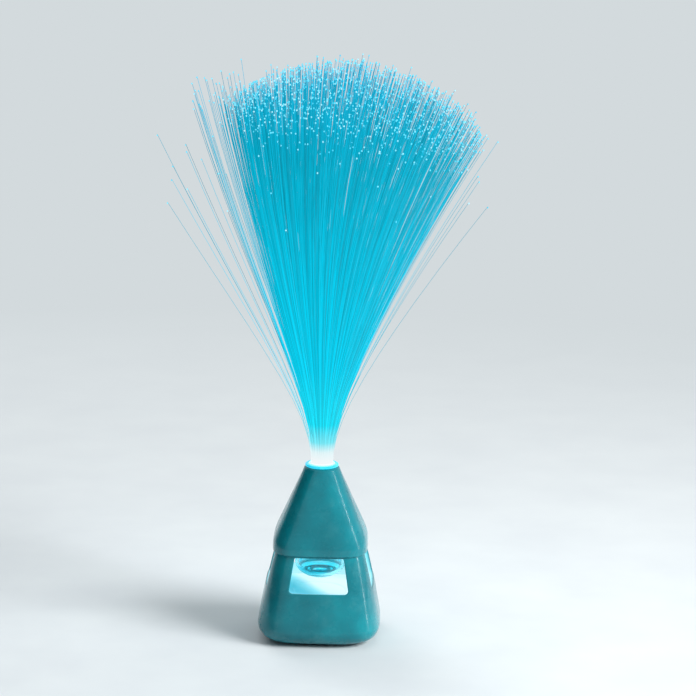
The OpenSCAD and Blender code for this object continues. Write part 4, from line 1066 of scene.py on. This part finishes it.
def plated(name, dark, light, roughness, streak_mm):
    """Metal whose shade, gloss and height all follow the same streaks."""
    material, tree, shader = new_material(name)
    place = add(tree, "ShaderNodeTexCoord", "Object")
    stretched = add(tree, "ShaderNodeMapping", "Vector", {"Vector": place, "Scale": STREAKED})
    streak = add(tree, "ShaderNodeTexNoise", "Fac",
                 {"Vector": stretched, "Scale": per_metre(streak_mm), "Detail": 4.0})
    share = add(tree, "ShaderNodeMapRange", "Result", {"Value": streak, **NOISE_SPAN})
    shade = add(tree, "ShaderNodeValToRGB", "Color", {"Fac": share}, [(0.0, dark), (1.0, light)])
    dullness = add(tree, "ShaderNodeMapRange", "Result", {
        "Value": streak, **NOISE_SPAN, "To Min": roughness - 0.05, "To Max": roughness + 0.1})
    uneven = add(tree, "ShaderNodeBump", "Normal", {"Height": streak, "Distance": 0.006 * MM})
    wire(tree, shader, {
        "Metallic": 1.0, "Base Color": shade, "Roughness": dullness, "Normal": uneven})
    return material


def light_mouth(material):
    """Glow that rises over the last millimetres below the fan's foot."""
    tree = material.node_tree
    place = add(tree, "ShaderNodeTexCoord", "Object")
    height = add(tree, "ShaderNodeSeparateXYZ", "Z", {"Vector": place})
    share = add(tree, "ShaderNodeMapRange", "Result",
                {"Value": height, "From Min": (FAN_Z - MOUTH_GLOW_MM) * MM, "From Max": FAN_Z * MM})
    leak = add(tree, "ShaderNodeValToRGB", "Color", {"Fac": share},
               [(0.0, "#000000"), (0.8, "#0A8CA0"), (1.0, "#BFF7FF")])
    wire(tree, tree.nodes["Principled BSDF"], {"Emission Color": leak, "Emission Strength": 0.9})


ZINC = plated("bright_zinc_plate", "#9EA3A8", "#C3C7CA", 0.30, 1.2)
NICKEL = plated("nickel_plated_wire", "#A9A79F", "#CFCDC6", 0.22, 0.8)
TURNED = plated("turned_aluminium", "#AEB4B8", "#D3D7D9", 0.24, 1.0)
light_mouth(TURNED)
for names, finish in ((["base_screws", "board_screws", "carrier_screws", "switch_body"], ZINC),
                      (["contact_springs", "contact_plates"], NICKEL), (["ferrule"], TURNED)):
    for name in names:
        dress(name, finish)

# %% [markdown]
# ## Battery cells
# A cell's jacket is printed foil. This one is plain slate grey with one thin pale ring near the
# button, so it follows no maker's design. The button and the rim are bare steel, which the place
# along the cell tells.

# %% Battery cells
JACKET = [(0.0, "#C8CACB"), (0.015, "#505D65"), (0.90, "#87939A"), (0.925, "#505D65"),
          (0.965, "#D2D4D5")]


def cell_jacket(name, rim, button):
    """Foil jacket by the share of the way along x from the cell's rim to its button."""
    material, tree, shader = new_material(name)
    place = add(tree, "ShaderNodeTexCoord", "Object")
    along = add(tree, "ShaderNodeSeparateXYZ", "X", {"Vector": place})
    share = add(tree, "ShaderNodeMapRange", "Result",
                {"Value": along, "From Min": rim, "From Max": button})
    colour = add(tree, "ShaderNodeValToRGB", "Color", {"Fac": share}, JACKET)
    colour.node.color_ramp.interpolation = "CONSTANT"
    crease = add(tree, "ShaderNodeTexNoise", "Fac",
                 {"Vector": place, "Scale": per_metre(1.5), "Detail": 3.0})
    uneven = add(tree, "ShaderNodeBump", "Normal", {"Height": crease, "Distance": 0.01 * MM})
    wire(tree, shader, {"Metallic": 0.7, "Roughness": 0.28, "Base Color": colour, "Normal": uneven})
    return material


left_low, left_high = (corner[0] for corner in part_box("battery_cell_left"))
middle_low, middle_high = (corner[0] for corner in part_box("battery_cell_middle"))
FOIL_RIGHT = cell_jacket("foil_jacket_right", left_low, left_high)
dress("battery_cell_left", FOIL_RIGHT)
dress("battery_cell_right", FOIL_RIGHT)
dress("battery_cell_middle", cell_jacket("foil_jacket_left", middle_high, middle_low))

# %% [markdown]
# ## Circuit board, lights and leads
# A board is laminate under green solder mask, with the copper tracks just showing. The tracks are the
# borders of a Voronoi pattern, 4 mm apart. The two light packages are pale cases that glow where the
# die shines through, and the leads are smooth coloured PVC.

# %% Circuit board and lights
PACKAGE_R = 0.005


def board_laminate():
    """Green solder mask, brighter and raised over the tracks."""
    material, tree, shader = new_material("green_solder_mask")
    place = add(tree, "ShaderNodeTexCoord", "Object")
    tracks = add(tree, "ShaderNodeTexVoronoi", "Distance",
                 {"Vector": place, "Scale": per_metre(4.0)}, feature="DISTANCE_TO_EDGE")
    colour = add(tree, "ShaderNodeValToRGB", "Color", {"Fac": tracks},
                 [(0.0, "#2C8A4B"), (0.12, "#2C8A4B"), (0.16, "#0F5A30"), (1.0, "#0D4F2A")])
    uneven = add(tree, "ShaderNodeBump", "Normal", {"Height": tracks, "Distance": 0.03 * MM})
    wire(tree, shader, {"IOR": 1.55, "Roughness": 0.32, "Base Color": colour, "Normal": uneven})
    return material


def lit_package(name, glow, case):
    """Light package: a pale case whose glow falls off with the distance from the axis."""
    material, tree, shader = new_material(name)
    place = add(tree, "ShaderNodeTexCoord", "Object")
    flat = add(tree, "ShaderNodeVectorMath", "Vector", {0: place, 1: (1.0, 1.0, 0.0)},
               operation="MULTIPLY")
    radius = add(tree, "ShaderNodeVectorMath", "Value", {0: flat}, operation="LENGTH")
    share = add(tree, "ShaderNodeMapRange", "Result", {"Value": radius, "From Max": PACKAGE_R})
    shine = add(tree, "ShaderNodeValToRGB", "Color", {"Fac": share},
                [(0.0, "#FFFFFF"), (0.6, glow), (1.0, case)])
    wire(tree, shader, {"IOR": 1.52, "Roughness": 0.2, "Base Color": case,
                        "Emission Color": shine, "Emission Strength": 1.0})
    return material


dress("light_board", board_laminate())
dress("downlight_chip", lit_package("lit_chip_phosphor", "#7FEFFF", "#D9D9C4"))
dress("fibre_lamp", lit_package("lit_dome_epoxy", "#9CF4FF", "#BFEFF7"))

# %% Leads
for name, colour, dark, light in (("lead_positive", "red", "#9A1410", "#B11C16"),
                                  ("lead_switched", "yellow", "#B98A10", "#CF9E1B"),
                                  ("lead_negative", "black", "#141415", "#202122")):
    dress(name, moulded(colour + "_pvc", dark, light, 0.34, 0.5, 0.005, 1.53))

# %% [markdown]
# ## Floor and world
# The setting is a plain pale table and a backdrop of one colour. The world lights the lamp weakly,
# and what the eye, a reflection or a clear piece sees of it is that one colour. Far out, the table
# turns into the same colour for the camera, so that no horizon line crosses the picture, and near the
# lamp it is a matt surface that keeps the shadow.

# %% Floor
PALE_FAR = "#D3DADD"
FAR_FROM, FAR_TO = 0.15, 1.0
FLOOR_HALF = 40.0


def pale_floor():
    """Matt pale table that turns, seen from the camera, into the backdrop's colour with distance."""
    material, tree, shader = new_material("pale_table")
    place = add(tree, "ShaderNodeTexCoord", "Object")
    cloud = add(tree, "ShaderNodeTexNoise", "Fac",
                {"Vector": place, "Scale": per_metre(60.0), "Detail": 3.0})
    share = add(tree, "ShaderNodeMapRange", "Result", {"Value": cloud, **NOISE_SPAN})
    shade = add(tree, "ShaderNodeValToRGB", "Color", {"Fac": share},
                [(0.0, "#D9DEE1"), (1.0, "#DFE4E6")])
    wire(tree, shader, {"Roughness": 0.8, "Specular IOR Level": 0.0, "Base Color": shade})
    away = add(tree, "ShaderNodeVectorMath", "Value", {0: place}, operation="LENGTH")
    far = add(tree, "ShaderNodeMapRange", "Result",
              {"Value": away, "From Min": FAR_FROM, "From Max": FAR_TO})
    seen = add(tree, "ShaderNodeLightPath", "Is Camera Ray")
    seen_far = add(tree, "ShaderNodeMath", "Value", {0: far, 1: seen}, operation="MULTIPLY")
    pale = add(tree, "ShaderNodeEmission", "Emission", {"Color": PALE_FAR, "Strength": 1.0})
    both = add(tree, "ShaderNodeMixShader", "Shader",
               {0: seen_far, 1: shader.outputs["BSDF"], 2: pale})
    wire(tree, tree.nodes["Material Output"], {"Surface": both})
    return material


floor_mesh = bpy.data.meshes.new("table_top")
corners = [(-FLOOR_HALF, -FLOOR_HALF, 0), (FLOOR_HALF, -FLOOR_HALF, 0),
           (FLOOR_HALF, FLOOR_HALF, 0), (-FLOOR_HALF, FLOOR_HALF, 0)]
floor_mesh.from_pydata(corners, [], [(0, 1, 2, 3)])
floor = place_object("table_top", floor_mesh, pale_floor())
print("floor", 2 * FLOOR_HALF, "m wide")

# %% World
WORLD_LIGHT, WORLD_STRENGTH = "#DDE6EA", 0.23

world = bpy.data.worlds.new("studio")
bpy.context.scene.world = world
world.use_nodes = True
tree = world.node_tree
background = tree.nodes["Background"]
wire(tree, background, {"Color": WORLD_LIGHT, "Strength": WORLD_STRENGTH})
seen = add(tree, "ShaderNodeBackground", "Background", {"Color": PALE_FAR, "Strength": 1.0})
by_eye = add(tree, "ShaderNodeLightPath", "Is Camera Ray")
path = by_eye.node.outputs
mirrored = add(tree, "ShaderNodeMath", "Value", {0: by_eye, 1: path["Is Glossy Ray"]},
               operation="MAXIMUM")
through = add(tree, "ShaderNodeMath", "Value", {0: mirrored, 1: path["Is Transmission Ray"]},
              operation="MAXIMUM")
blend = add(tree, "ShaderNodeMixShader", "Shader",
            {0: through, 1: background.outputs["Background"], 2: seen})
wire(tree, tree.nodes["World Output"], {"Surface": blend})
print("world light", WORLD_LIGHT, "at", WORLD_STRENGTH, "and seen as", PALE_FAR)

# %% [markdown]
# ## Lights
# A large soft key stands to the right, as the brighter right side of the lamp asks, with a weak fill
# at the left, a soft top light and one behind, so that the back isn't lost. A narrow strip gives the
# thin bright line down the housing's right edge. A black felt flag at the left gives the dark band
# down its left side, and only reflections see it.

# %% Lights
AIM_HEIGHT = 0.12
STRIP_HEIGHT = 1.3


def soft_light(name, place, size, watts):
    """Square area light that faces the lamp's middle."""
    data = bpy.data.lights.new(name, "AREA")
    data.size = size
    data.energy = watts
    lamp = bpy.data.objects.new(name, data)
    bpy.context.scene.collection.objects.link(lamp)
    aim = Vector((0, 0, AIM_HEIGHT)) - Vector(place)
    facing = aim.to_track_quat("-Z", "Y").to_matrix().to_4x4()
    lamp.matrix_world = Matrix.Translation(place) @ facing
    return lamp


key = soft_light("key_right", (1.3, -0.7, 1.0), 0.8, 36)
fill = soft_light("fill_left", (-1.5, -0.8, 0.9), 1.2, 0.6)
top = soft_light("top", (0.1, 0.3, 1.8), 1.0, 8)
behind = soft_light("fill_behind", (-0.9, 1.5, 1.0), 1.2, 16)
for lamp in (key, fill, top, behind):
    lamp.visible_glossy = False
strip = soft_light("strip_right", (1.45, -0.22, 0.55), 0.035, 5)
strip.data.shape = "RECTANGLE"
strip.data.size_y = STRIP_HEIGHT
print("lights:", [lamp.name for lamp in (key, fill, top, behind, strip)])

# %% Dark flag and view
FLAG_X, FLAG_FRONT, FLAG_BACK, FLAG_TOP = -0.9, -0.75, 0.8, 1.3

flag_mesh = bpy.data.meshes.new("dark_flag")
corners = [(FLAG_X, FLAG_FRONT, 0), (FLAG_X, FLAG_BACK, 0),
           (FLAG_X, FLAG_BACK, FLAG_TOP), (FLAG_X, FLAG_FRONT, FLAG_TOP)]
flag_mesh.from_pydata(corners, [], [(0, 1, 2, 3)])
FELT = moulded("black_felt", "#030404", "#060707", 0.9, 1.0, 0.05)
flag = place_object("dark_flag", flag_mesh, FELT)
flag.visible_camera = flag.visible_diffuse = False
flag.visible_shadow = flag.visible_transmission = False
bpy.context.scene.view_settings.view_transform = "Standard"
print("dark flag", FLAG_TOP, "m high, seen in reflections only")
